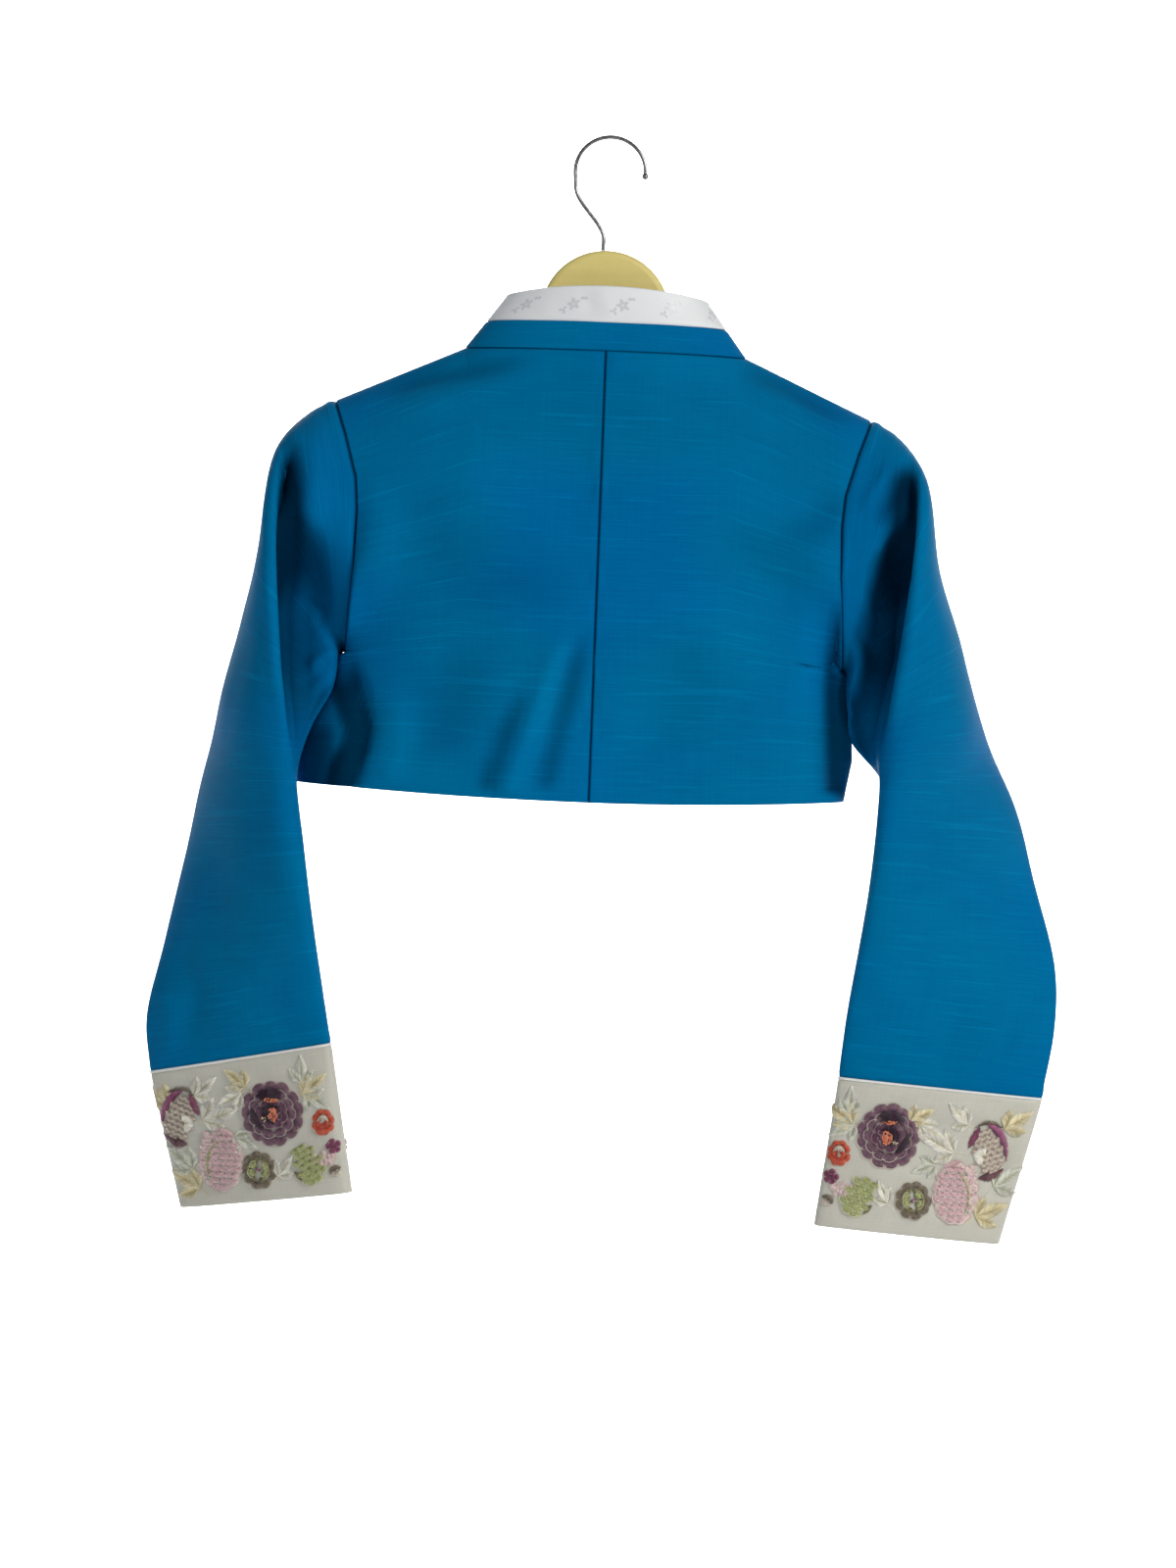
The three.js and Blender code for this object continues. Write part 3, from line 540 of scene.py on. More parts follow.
def grid_normals(grid, ringed, inside):
    if ringed:
        along = np.roll(grid, -1, axis=1) - np.roll(grid, 1, axis=1)
    else:
        along = np.gradient(grid, axis=1)
    down = np.gradient(grid, axis=0)
    normals = unit(np.cross(along, down))
    if np.sum(normals * (grid - inside)) < 0:
        normals = -normals
    return normals


def axis_of(grid):
    middle = np.zeros_like(grid)
    middle[..., 0] = CENTRE_X
    middle[..., 2] = grid[..., 2]
    return middle


def ring_middles(grid):
    return np.broadcast_to(grid.mean(axis=1, keepdims=True), grid.shape)


def run_lengths(grid, axis):
    steps = np.linalg.norm(np.diff(grid, axis=axis), axis=-1)
    start = np.zeros_like(np.take(steps, [0], axis=axis))
    return np.concatenate([start, np.cumsum(steps, axis=axis)], axis=axis)


def seam_drop(grid, edges):
    """How far the cloth rolls in beside its seams, which edges names as rows or columns of the grid."""
    across = run_lengths(grid, 1)
    down = run_lengths(grid, 0)
    far = {
        "first_column": across,
        "last_column": across[:, -1:] - across,
        "first_row": down,
        "last_row": down[-1:] - down,
    }
    drop = np.zeros(grid.shape[:-1])
    for edge in edges:
        near = 1 - smooth(0, SEAM_ROLL, far[edge])
        drop = np.maximum(drop, near * near)
    return drop * SEAM_DEPTH


class Cloth:
    """A closed wall of cloth from a grid of outer points, with a rounded rim, a UV map in metres and a
    painted shade for each outer point.
    """

    def __init__(self, grid, normals, thick, ringed, shade=None):
        self.grid = grid
        self.normals = normals
        self.thick = thick
        self.ringed = ringed
        self.shade = np.zeros(grid.shape[:-1]) if shade is None else shade

    def rims(self):
        """Gives the points along each open edge and, for each, the next one inward."""
        rows, columns = self.grid.shape[:2]
        index = np.arange(rows * columns).reshape(rows, columns)
        if self.ringed:
            return [(index[0], index[1]), (index[-1], index[-2])]
        edge = np.concatenate([index[0, :-1], index[:-1, -1], index[-1, :0:-1], index[:0:-1, 0]])
        inner_rows = np.clip(np.arange(rows), 1, rows - 2)
        inner_columns = np.clip(np.arange(columns), 1, columns - 2)
        inward = index[np.ix_(inner_rows, inner_columns)]
        near = np.concatenate([inward[0, :-1], inward[:-1, -1], inward[-1, :0:-1], inward[:0:-1, 0]])
        return [(edge, near)]

    def wall(self):
        """Gives the points and faces of both faces of the cloth and of the rims that join them."""
        outer = self.grid.reshape(-1, 3)
        inner = (self.grid - self.normals * self.thick).reshape(-1, 3)
        count = len(outer)
        index = np.arange(count).reshape(self.grid.shape[:2])
        ahead = np.roll(index, -1, axis=1) if self.ringed else index[:, 1:]
        here = index if self.ringed else index[:, :-1]
        quads = np.stack([here[:-1], ahead[:-1], ahead[1:], here[1:]], axis=-1).reshape(-1, 4)
        faces = [quads, quads[:, ::-1] + count]
        points = [outer, inner]
        for k, (edge, near) in enumerate(self.rims()):
            out = unit(outer[edge] - outer[near])
            rim = np.arange(len(edge)) + sum(len(part) for part in points)
            points.append((outer[edge] + inner[edge]) / 2 + out * self.thick * RIM_ROUND)
            edge_next = np.roll(edge, -1)
            rim_next = np.roll(rim, -1)
            upper = np.stack([edge, rim, rim_next, edge_next], axis=-1)
            lower = np.stack([rim, edge + count, edge_next + count, rim_next], axis=-1)
            faces += [upper, lower] if k == 0 else [upper[:, ::-1], lower[:, ::-1]]
        return np.concatenate(points), np.concatenate(faces)

    def build(self, name, material, turn_uv=False):
        points, faces = self.wall()
        mesh = bpy.data.meshes.new(name)
        mesh.from_pydata((points * MM).tolist(), [], faces.tolist())
        self.write_uv(mesh, turn_uv)
        # Painted shade of folds and seams, on the outer points; the inner face and the rims get none.
        shades = np.zeros(len(mesh.vertices))
        shades[:self.shade.size] = self.shade.ravel()
        mesh.attributes.new("painted_fold_shade", "FLOAT", "POINT").data.foreach_set("value", shades)
        face_outwards(mesh)
        mesh.shade_smooth()
        mesh.materials.append(material)
        return put_in_scene(name, mesh)

    def write_uv(self, mesh, turn_uv):
        """Lays the cloth flat in metres, across and down; a ring is cut open at its first column."""
        count = self.grid[..., 0].size
        grid = np.concatenate([self.grid, self.grid[:, :1]], axis=1) if self.ringed else self.grid
        across = run_lengths(grid, 1)
        if not self.ringed:
            across = across - across[:, :1]
        down = run_lengths(self.grid, 0).mean(axis=1, keepdims=True) + np.zeros(across.shape)
        columns = self.grid.shape[1]
        layer = mesh.uv_layers.new(name="cloth")
        loop_points = np.zeros(len(mesh.loops), dtype=int)
        mesh.loops.foreach_get("vertex_index", loop_points)
        edge_points = np.concatenate([edge for edge, _ in self.rims()])
        base = np.where(loop_points < count, loop_points, loop_points - count)
        rim = loop_points >= 2 * count
        base[rim] = edge_points[loop_points[rim] - 2 * count]
        row = base // columns
        column = base % columns
        starts = np.zeros(len(mesh.polygons), dtype=int)
        totals = np.zeros(len(mesh.polygons), dtype=int)
        mesh.polygons.foreach_get("loop_start", starts)
        mesh.polygons.foreach_get("loop_total", totals)
        if self.ringed:
            owner = np.repeat(np.arange(len(starts)), totals)
            highest = np.zeros(len(starts), dtype=int)
            np.maximum.at(highest, owner, column)
            wraps = (highest[owner] > columns // 2) & (column < columns // 4)
            column = np.where(wraps, columns, column)
        u = across[row, column] * MM
        v = down[row, np.minimum(column, down.shape[1] - 1)] * MM
        pair = np.stack([v, u] if turn_uv else [u, v], axis=-1)
        layer.data.foreach_set("uv", pair.ravel())


def face_outwards(mesh):
    points = np.zeros(len(mesh.vertices) * 3)
    mesh.vertices.foreach_get("co", points)
    points = points.reshape(-1, 3)
    mesh.calc_loop_triangles()
    corners = np.zeros(len(mesh.loop_triangles) * 3, dtype=int)
    mesh.loop_triangles.foreach_get("vertices", corners)
    a, b, c = (points[corners[k::3]] for k in range(3))
    if np.sum(a * np.cross(b, c)) < 0:
        mesh.flip_normals()


# Shader expressions

class Value:
    """A shader socket that takes part in Python expressions."""

    def __init__(self, finish, socket):
        self.finish = finish
        self.socket = socket

    def math(self, operation, *others):
        sockets = dict(enumerate([self, *others]))
        return self.finish.node("ShaderNodeMath", {"operation": operation}, sockets)

    def __add__(self, other):
        return self.math("ADD", other)

    def __sub__(self, other):
        return self.math("SUBTRACT", other)

    def __mul__(self, other):
        return self.math("MULTIPLY", other)

    def __truediv__(self, other):
        return self.math("DIVIDE", other)

    def __rsub__(self, other):
        return (self * -1.0) + other

    __radd__ = __add__
    __rmul__ = __mul__

    def sine(self):
        return self.math("SINE")

    def fraction(self):
        return self.math("FRACT")

    def step(self, low, high):
        settings = {"interpolation_type": "SMOOTHSTEP"}
        sockets = {"Value": self, "From Min": low, "From Max": high}
        return self.finish.node("ShaderNodeMapRange", settings, sockets)


class Finish:
    """A material made of shader nodes."""

    def __init__(self, name):
        self.material = bpy.data.materials.new(name)
        self.material.use_nodes = True
        self.tree = self.material.node_tree
        self.tree.nodes.clear()

    def node(self, kind, settings=None, sockets=None, output=0):
        node = self.tree.nodes.new(kind)
        for key, value in (settings or {}).items():
            setattr(node, key, value)
        for key, value in (sockets or {}).items():
            if isinstance(value, Value):
                self.tree.links.new(value.socket, node.inputs[key])
            else:
                node.inputs[key].default_value = value
        return Value(self, node.outputs[output])

    def cloth_uv(self):
        uv = self.node("ShaderNodeUVMap", {"uv_map": "cloth"})
        parts = self.node("ShaderNodeSeparateXYZ", None, {0: uv})
        return parts, Value(self, parts.socket.node.outputs[1])

    def place(self):
        return self.node("ShaderNodeTexCoord", output=3)

    def vector(self, x, y, z=0.0):
        return self.node("ShaderNodeCombineXYZ", None, {0: x, 1: y, 2: z})

    def noise(self, vector, scale=1.0, detail=2.0, rough=0.5):
        sockets = {"Vector": vector, "Scale": scale, "Detail": detail, "Roughness": rough}
        return self.node("ShaderNodeTexNoise", {"noise_dimensions": "3D"}, sockets)

    def blend(self, share, first, second):
        settings = {"data_type": "RGBA", "clamp_factor": True}
        return self.node("ShaderNodeMix", settings, {0: share, 6: first, 7: second}, 2)

    def bump(self, height, distance, strength=1.0):
        sockets = {"Height": height, "Distance": distance, "Strength": strength}
        return self.node("ShaderNodeBump", None, sockets)

    def surface(self, sockets):
        shader = self.node("ShaderNodeBsdfPrincipled", None, sockets)
        out = self.tree.nodes.new("ShaderNodeOutputMaterial")
        self.tree.links.new(shader.socket, out.inputs["Surface"])
        return self.material


WEFT_PITCH = 0.0005
TWILL_PITCH = 0.0006
RIB_PITCH = 0.0007
SILK_BLUE = ((0.0, 0.08, 0.23, 1), (0.0, 0.172, 0.43, 1))
SILK_TEAL = ((0.0, 0.09, 0.216, 1), (0.0, 0.19, 0.41, 1))
# The near-black blue that painted shade mixes into the silk in its deepest folds.
SILK_PAINTED_SHADE = (0.0, 0.008, 0.024, 1)
SATIN_WHITE = (0.8, 0.81, 0.82, 1)
SATIN_PATTERN = (0.5, 0.51, 0.54, 1)
CREAM_SILK = ((0.4, 0.385, 0.325, 1), (0.66, 0.645, 0.565, 1))
PIPING_WHITE = ((0.86, 0.86, 0.84, 1), (0.68, 0.69, 0.68, 1))
HANGER_YELLOW = ((0.62, 0.5, 0.15, 1), (0.8, 0.68, 0.26, 1))
HOOK_GREY = ((0.12, 0.12, 0.12, 1), (0.34, 0.34, 0.33, 1))
THREAD_SHADOW = (0.84, 0.82, 0.84, 1)
PAPER = ((0.9, 0.9, 0.9, 1), (0.93, 0.93, 0.93, 1))


def slub_silk():
    finish = Finish("slub_silk")
    u, v = finish.cloth_uv()
    streak = finish.noise(finish.vector(u * 22.0, v * 1100.0), detail=3.0)
    long_slub = finish.noise(finish.vector(u * 16.0, v * 420.0, 3.7), detail=1.0).step(0.6, 0.74)
    short_slub = finish.noise(finish.vector(u * 60.0, v * 700.0, 9.1), detail=1.0).step(0.66, 0.78)
    warp = finish.noise(finish.vector(u * 1400.0, v * 12.0, 5.2), detail=1.0)
    cloud = finish.noise(finish.vector(u * 9.0, v * 12.0, 1.3), detail=2.0)
    weft = (v * (2 * math.pi / WEFT_PITCH)).sine()
    # Painted shade darkens the silk in folds and along seams, and where it is negative it lightens it as a
    # painted highlight.
    shade = finish.node("ShaderNodeAttribute", {"attribute_name": "painted_fold_shade"}, None, 2)
    slubs = long_slub * 0.2 + short_slub * 0.12
    light = streak * 0.55 + warp * 0.2 + cloud * 0.5 - 0.14 + slubs - shade * 0.6
    hue = finish.noise(finish.vector(u * 6.0, v * 8.0, 8.8), detail=1.0).step(0.38, 0.62)
    plain = finish.blend(hue, finish.blend(light, *SILK_BLUE), finish.blend(light, *SILK_TEAL))
    colour = finish.blend(shade * 0.9, plain, SILK_PAINTED_SHADE)
    height = streak * 0.7 + warp * 0.3 + weft * 0.12 + long_slub * 0.9 + short_slub * 0.6
    return finish.surface({
        "Base Color": colour,
        "Roughness": streak * 0.16 + 0.48,
        "Specular IOR Level": 0.05,
        "Specular Tint": (0.03, 0.5, 0.9, 1),
        "Sheen Weight": 0.02,
        "Sheen Roughness": 0.4,
        "Sheen Tint": (0.1, 0.5, 0.9, 1),
        "Normal": finish.bump(height, 0.00016, 0.7),
    })


def petals(across, down, count, size, depth):
    """A flower's mask about the middle of a tile: across and down are measured from it, in metres."""
    reach = (across * across + down * down).math("SQRT")
    angle = down.math("ARCTAN2", across)
    edge = (angle * float(count)).math("COSINE") * depth + size
    return (edge - reach).step(-0.0003, 0.0003)


def jacquard(u, v):
    """The mask of an ordinary woven sprig, repeated in staggered rows: a flower, leaves and a bud."""
    wide, tall = 0.034, 0.025
    row = (v / tall).math("FLOOR")
    shift = row.math("MODULO", 2.0) * 0.5
    across = ((u / wide + shift).fraction() - 0.5) * wide
    down = ((v / tall).fraction() - 0.5) * tall
    flower = petals(across, down, count=5, size=0.0036, depth=0.0012)
    heart = petals(across, down, count=3, size=0.0009, depth=0.0001)
    leaves = petals(across - 0.0062, down + 0.0044, count=3, size=0.0018, depth=0.0012)
    bud = petals(across + 0.0066, down - 0.0046, count=2, size=0.0016, depth=0.0010)
    return (flower - heart * 0.8 + leaves + bud).math("MINIMUM", 1.0)


def jacquard_satin():
    finish = Finish("white_satin")
    u, v = finish.cloth_uv()
    mask = jacquard(u, v)
    thread = finish.noise(finish.vector(u * 160.0, v * 2600.0), detail=2.0)
    twill = ((u + v * 1.7) * (2 * math.pi / TWILL_PITCH)).sine()
    cloud = finish.noise(finish.vector(u * 20.0, v * 30.0, 4.0), detail=1.0)
    shade = mask * 0.55 + thread * 0.15 + cloud * 0.2
    return finish.surface({
        "Base Color": finish.blend(shade, SATIN_WHITE, SATIN_PATTERN),
        "Roughness": 0.42 - mask * 0.16 + thread * 0.1,
        "Specular IOR Level": 0.5,
        "Sheen Weight": 0.15,
        "Normal": finish.bump(mask * 0.8 + twill * 0.12 * (1.0 - mask) + thread * 0.3, 0.00012, 0.8),
    })


def cream_silk():
    finish = Finish("cream_silk")
    u, v = finish.cloth_uv()
    thread = finish.noise(finish.vector(u * 1500.0, v * 60.0), detail=2.0)
    weft = finish.noise(finish.vector(u * 70.0, v * 1500.0, 2.2), detail=1.0)
    cloud = finish.noise(finish.vector(u * 26.0, v * 30.0, 6.0), detail=2.0)
    rib = (u * (2 * math.pi / RIB_PITCH)).sine()
    light = thread * 0.4 + weft * 0.3 + cloud * 0.5 - 0.1
    return finish.surface({
        "Base Color": finish.blend(light, *CREAM_SILK),
        "Roughness": thread * 0.14 + 0.38,
        "Specular IOR Level": 0.4,
        "Sheen Weight": 0.2,
        "Sheen Tint": (1.0, 0.97, 0.88, 1),
        "Normal": finish.bump(thread * 0.6 + weft * 0.3 + rib * 0.1, 0.00012, 0.8),
    })


def piping_satin():
    finish = Finish("piping_satin")
    place = finish.place()
    thread = finish.noise(place, 900.0, 2.0)
    return finish.surface({
        "Base Color": finish.blend(thread, *PIPING_WHITE),
        "Roughness": thread * 0.2 + 0.35,
        "Sheen Weight": 0.2,
        "Normal": finish.bump(thread, 0.0001, 0.6),
    })


def hanger_paint():
    finish = Finish("hanger_paint")
    place = finish.place()
    parts = finish.node("ShaderNodeSeparateXYZ", None, {0: place})
    x, y, z = (Value(finish, parts.socket.node.outputs[k]) for k in range(3))
    grain = finish.noise(finish.vector(x * 14.0, y * 90.0, z * 160.0), detail=4.0, rough=0.6)
    speck = finish.noise(place, 420.0, 2.0)
    light = grain * 0.7 + speck * 0.25
    return finish.surface({
        "Base Color": finish.blend(light, *HANGER_YELLOW),
        "Roughness": grain * 0.2 + 0.42,
        "Normal": finish.bump(grain * 0.6 + speck * 0.3, 0.00015, 0.5),
    })


def hook_steel():
    finish = Finish("hook_steel")
    place = finish.place()
    smear = finish.noise(place, 300.0, 3.0)
    fine = finish.noise(place, 2400.0, 2.0)
    return finish.surface({
        "Base Color": finish.blend(smear, *HOOK_GREY),
        "Metallic": 1.0,
        "Roughness": smear * 0.2 + 0.16,
        "Normal": finish.bump(fine, 0.00004, 0.4),
    })


def silk_thread():
    finish = Finish("embroidery_thread")
    colour = finish.node("ShaderNodeAttribute", {"attribute_name": "thread"})
    place = finish.place()
    ply = finish.noise(place, 2600.0, 2.0)
    darker = finish.node("ShaderNodeMix", {"data_type": "RGBA", "blend_type": "MULTIPLY"},
                         {0: 1.0, 6: colour, 7: THREAD_SHADOW}, 2)
    return finish.surface({
        "Base Color": finish.blend(ply.step(0.3, 0.62), darker, colour),
        "Roughness": ply * 0.2 + 0.34,
        "Specular IOR Level": 0.45,
        "Sheen Weight": 0.25,
        "Normal": finish.bump(ply, 0.00008, 0.5),
    })


def studio_paper():
    finish = Finish("studio_paper")
    place = finish.place()
    grain = finish.noise(place, 40.0, 2.0)
    return finish.surface({
        "Base Color": finish.blend(grain, *PAPER),
        "Roughness": 0.9,
        "Specular IOR Level": 0.1,
    })


# The body panels. Folds fade out towards each seam, over the distances given here.

FADE_AT_SEAM = 12.0
FADE_AT_ARMHOLE = 14.0
FADE_AT_LAP = (40, 120)
NECK_STEPS = 34
SHOULDER_STEPS = 44
ARM_STEPS = 56
SKIRT_STEPS = 33
FRONT_STEPS = 72
UNDERARM_SHARE = (SHOULDER_Z - UNDERARM_Z) / (SHOULDER_Z - HEM_SIDE_Z)
SHOULDER_SIDE = 0.41
SHOULDER_UP = 0.91
BACK_WAVE_HEIGHT = 1.6
FRONT_WAVE_HEIGHT = 1.4
GUSSET = {"height": 1.6, "down": 3.0, "tall": 4.0, "wide": 6.0}
PUCKER = {"height": 0.5, "wide": 9.0, "short": 5.3, "long": 8.9}


def arm_shares():
    """Shares of the armhole's height, closer together at both ends."""
    return (1 - np.cos(np.linspace(0, math.pi, ARM_STEPS + 1))) / 2


def skirt_shares():
    """Shares of the stretch below the underarm."""
    return np.linspace(0, 1, SKIRT_STEPS + 1)[1:]


def rows_down():
    return np.concatenate([arm_shares() * UNDERARM_SHARE, mix(UNDERARM_SHARE, 1, skirt_shares())])


def near_underarm(z):
    return np.exp(-((z - UNDERARM_Z) / UNDERARM_EASE) ** 2)


def underarm_gusset(z, from_side):
    """A small swelling that all but closes the corner where side seam, armhole and sleeve meet."""
    tall = np.exp(-((z - UNDERARM_Z + GUSSET["down"]) / GUSSET["tall"]) ** 2)
    return GUSSET["height"] * tall * np.exp(-(from_side / GUSSET["wide"]) ** 2)


def centre_puckers(z, from_centre):
    """The small puckers beside the centre seam."""
    reach = np.exp(-(from_centre / PUCKER["wide"]) ** 2) * PUCKER["height"]
    ripple = np.sin(z / PUCKER["short"]) + np.sin(z / PUCKER["long"] + 1.0)
    return reach * ripple * smooth(2, 6, from_centre)


def set_side_normals(normals, side, column, turn):
    """Gives one column the directions that the armhole and the side seam share with the next piece."""
    angles = turn * np.linspace(0, math.pi, ARM_STEPS + 1)
    normals[:ARM_STEPS + 1, column] = armhole_normals(side, angles)
    normals[ARM_STEPS + 1:, column] = (signed(side), 0, 0)


def back_panel(side):
    neck = NECK_SHARE * eased(NECK_STEPS, 0.8)
    shoulder = mix(NECK_SHARE, 1, eased(SHOULDER_STEPS, 0.9))
    shares = np.concatenate([neck, shoulder[1:]])
    share, down = np.meshgrid(shares, rows_down())
    out = np.maximum(panel_out(side, share, outer_z(down)), SEAM / 2)
    y = -np.maximum(body_depth(share, down, "back"), SEAM / 2)
    z = mix(shoulder_z(share), hem_z(share), down)
    grid = np.stack([CENTRE_X + signed(side) * out, y, z], axis=-1)
    normals = grid_normals(grid, False, axis_of(grid))
    on_neck = shares < NECK_SHARE - 1e-6
    normals[0, on_neck, 2] = 0
    normals[0, ~on_neck] = (signed(side) * SHOULDER_SIDE, 0, SHOULDER_UP)
    set_side_normals(normals, side, -1, 1)
    normals = unit(normals)
    run = run_lengths(grid, 1)
    from_side = run[:, -1:] - run
    fade = smooth(0, FADE_AT_SEAM, run) * smooth(0, FADE_AT_ARMHOLE, from_side)
    fade *= smooth(0, FADE_AT_SEAM, run_lengths(grid, 0))
    height = fold_height(grid, normals, BACK_STROKES, SEEDS[side]["back"], BACK_WAVE_HEIGHT) * fade
    height += centre_puckers(grid[..., 2], run)
    drop = seam_drop(grid, ["first_column", "last_column", "first_row"])
    height -= drop * (1 - near_underarm(grid[..., 2]))
    height += underarm_gusset(grid[..., 2], from_side)
    # Painted shade in the back's folds and along its seams.
    shade = painted_fold_shade(grid, normals, BACK_STROKES, drop)
    grid = grid + normals * height[..., None]
    return Cloth(grid, normals, CLOTH, False, shade)


def lap_at(side, share):
    """How far a front stands off the middle of the lap: the left one lies on top."""
    return -signed(side) * LAP * smooth(0.08, 0.4, share)


def front_edge():
    """Gives the front's inner edge, row by row: down the collar to the crossing, then down to the hem."""
    arm, skirt = arm_shares(), skirt_shares()
    (top_out, top_height), (hem_out, hem_height) = FRONT_EDGE
    out = np.concatenate([mix(NECK_OUT, COLLAR["cross_out"], arm), mix(top_out, hem_out, skirt)])
    height = np.concatenate([mix(NECK_Z, COLLAR["cross_z"], arm), mix(top_height, hem_height, skirt)])
    return out, height


def front_panel(side):
    outer_height = outer_z(rows_down())
    outer = edge_out(side, outer_height)
    inner_out, inner_height = front_edge()
    across = 1 - np.cos(np.linspace(0, 1, FRONT_STEPS + 1) * math.pi / 2)
    calm = calm_out(side, outer_height)
    out = mix(calm[:, None], inner_out[:, None], across[None])
    out += (1 - across[None]) ** SIDE_POWER * (outer - calm)[:, None]
    z = mix(outer_height[:, None], inner_height[:, None], across[None])
    collar_share = np.clip((NECK_Z - z) / (NECK_Z - COLLAR["cross_z"]), 0, 1)
    lap = lap_at(side, collar_share) * smooth(0.15, 0.45, across)[None]
    y = front_y(side, out, z) + lap
    y[:, 0] = np.maximum(armhole_depth(outer_height), SEAM / 2)
    grid = np.stack([CENTRE_X + signed(side) * out, y, z], axis=-1)
    normals = grid_normals(grid, False, axis_of(grid))
    normals[0] = (signed(side) * SHOULDER_SIDE, 0, SHOULDER_UP)
    set_side_normals(normals, side, 0, -1)
    normals = unit(normals)
    run = run_lengths(grid, 1)
    fade = smooth(0, FADE_AT_ARMHOLE, run) * smooth(*FADE_AT_LAP, run[:, -1:] - run)
    fade *= smooth(0, FADE_AT_SEAM, run_lengths(grid, 0))
    height = fold_height(grid, normals, BACK_STROKES, SEEDS[side]["front"], FRONT_WAVE_HEIGHT) * fade
    drop = seam_drop(grid, ["first_column", "first_row"])
    height += underarm_gusset(grid[..., 2], run) - drop
    # Painted shade along the front's seams, and weaker copies of the back's folds on this hidden side.
    shade = painted_fold_shade(grid, normals, BACK_STROKES, 0) * fade + drop / SEAM_DEPTH * SEAM_PAINTED_SHADE
    grid = grid + normals * height[..., None]
    return Cloth(grid, normals, CLOTH, False, shade)


# The collar

# STAND is the strip's direction at the neck, out and up, and LIES_DOWN the shares of the front's length
# between which it comes to lie on the front.

STAND = (-0.59, 0.81)
LIES_DOWN = (0.08, 0.42)
LEAN_IN = 0.005
LEAST_STEP = 0.004
FADE_AT_FOOT = 5.0
LAPEL_STEPS = 56
NAPE_COLUMNS = 71
COLLAR_WAVE_HEIGHT = 0.5
BAND_TOP_DROP = 0.6


def nape_points(angles, band, white):
    out = mix(mix(NECK_OUT, COLLAR["band_out"], band), COLLAR["white_out"], white)
    depth = mix(mix(BACK_NECK_DEPTH, COLLAR["band_y"], band), COLLAR["white_y"], white)
    top = COLLAR["white_z"] - COLLAR["white_end_drop"] * np.sin(angles) ** 2
    z = mix(mix(NECK_Z, COLLAR["band_z"], band), top, white)
    return np.stack([CENTRE_X + out * np.sin(angles), -depth * np.cos(angles), z + 0 * angles], axis=-1)


def front_collar(side, share, width):
    """The strip down one front: it stands at the neck and lies on the front further down."""
    run_out = COLLAR["cross_out"] - NECK_OUT
    run_z = COLLAR["cross_z"] - NECK_Z
    length = math.hypot(run_out, run_z)
    settle = smooth(0, 0.25, share)
    across = [mix(STAND[0], run_z / length, settle), mix(STAND[1], -run_out / length, settle)]
    across = unit(np.stack(across, axis=-1))
    base_out = NECK_OUT + run_out * share
    base_z = NECK_Z + run_z * share
    out = base_out + across[..., 0] * width
    z = base_z + across[..., 1] * width
    standing = front_y(side, base_out, base_z) * (1 - LEAN_IN * width)
    lying = front_y(side, out, z)
    y = mix(standing, lying, smooth(*LIES_DOWN, share)) + lap_at(side, share)
    return np.stack([CENTRE_X + signed(side) * out, y, z], axis=-1)


def collar_strip(parts, reach, is_white):
    """One strip in a single piece: down the right front, round the nape and down the left front."""

    def front(side, shares):
        share, part = np.meshgrid(shares, parts, indexing="ij")
        band = mix(COLLAR["band_nape"], COLLAR["band_front"], smooth(0, 0.2, share))
        width = band + COLLAR["white_front"] * part if is_white else band * part
        return front_collar(side, share, width)

    shares = (1 - np.cos(np.linspace(0, math.pi, LAPEL_STEPS + 1)[1:])) / 2
    shares = np.append(shares[shares < reach - LEAST_STEP], reach)
    turns = np.linspace(math.pi / 2, -math.pi / 2, NAPE_COLUMNS)
    angle, part = np.meshgrid(turns, parts, indexing="ij")
    nape = nape_points(angle, 1 if is_white else part, part if is_white else 0)
    grid = np.concatenate([front("right", shares[::-1]), nape, front("left", shares)])
    normals = grid_normals(grid, False, axis_of(grid))
    first = len(shares)
    normals[first:first + NAPE_COLUMNS, 0, 2] = 0
    normals = unit(normals)
    seed = COLLAR_SEEDS["white" if is_white else "band"]
    waves = gentle_waves(grid, seed, COLLAR_WAVE_HEIGHT, COLLAR_WAVE_LENGTH)
    if is_white:
        waves += stroke_field(grid, WHITE_STROKES, "depth") * smooth(0.2, 0.6, -normals[..., 1])
    waves *= smooth(0, FADE_AT_FOOT, run_lengths(grid, 1))
    height = waves - seam_drop(grid, ["first_column"])
    if not is_white:
        height -= seam_drop(grid, ["last_column"]) * BAND_TOP_DROP
    grid = grid + normals * height[..., None]
    return Cloth(grid, normals, STIFF_CLOTH, False)


# The sleeves and cuffs. A ring starts at the sleeve's outer fold, and at the cuff its first half is the
# shown side; its angles stay between nothing and a full turn.

HALF_RING = 90
RING = np.linspace(0, 2 * math.pi, 2 * HALF_RING + 1)[:-1] - math.pi / 2
RING = (RING + 2 * math.pi) % (2 * math.pi)
RINGS_PER_SPAN = 13
CUFF_RINGS = 49
SLEEVE_WAVE_HEIGHT = 1.3
CUFF_WAVE_HEIGHT = 1.0
CAP_ROLL = {"height": 1.1, "down": 5.0, "wide": 3.0}
CUFF_TUCK = 0.5
CUFF_OVERLAP = 0.5
FADE_AT_CUFF = 10.0
FADE_AT_PIPING = 8.0


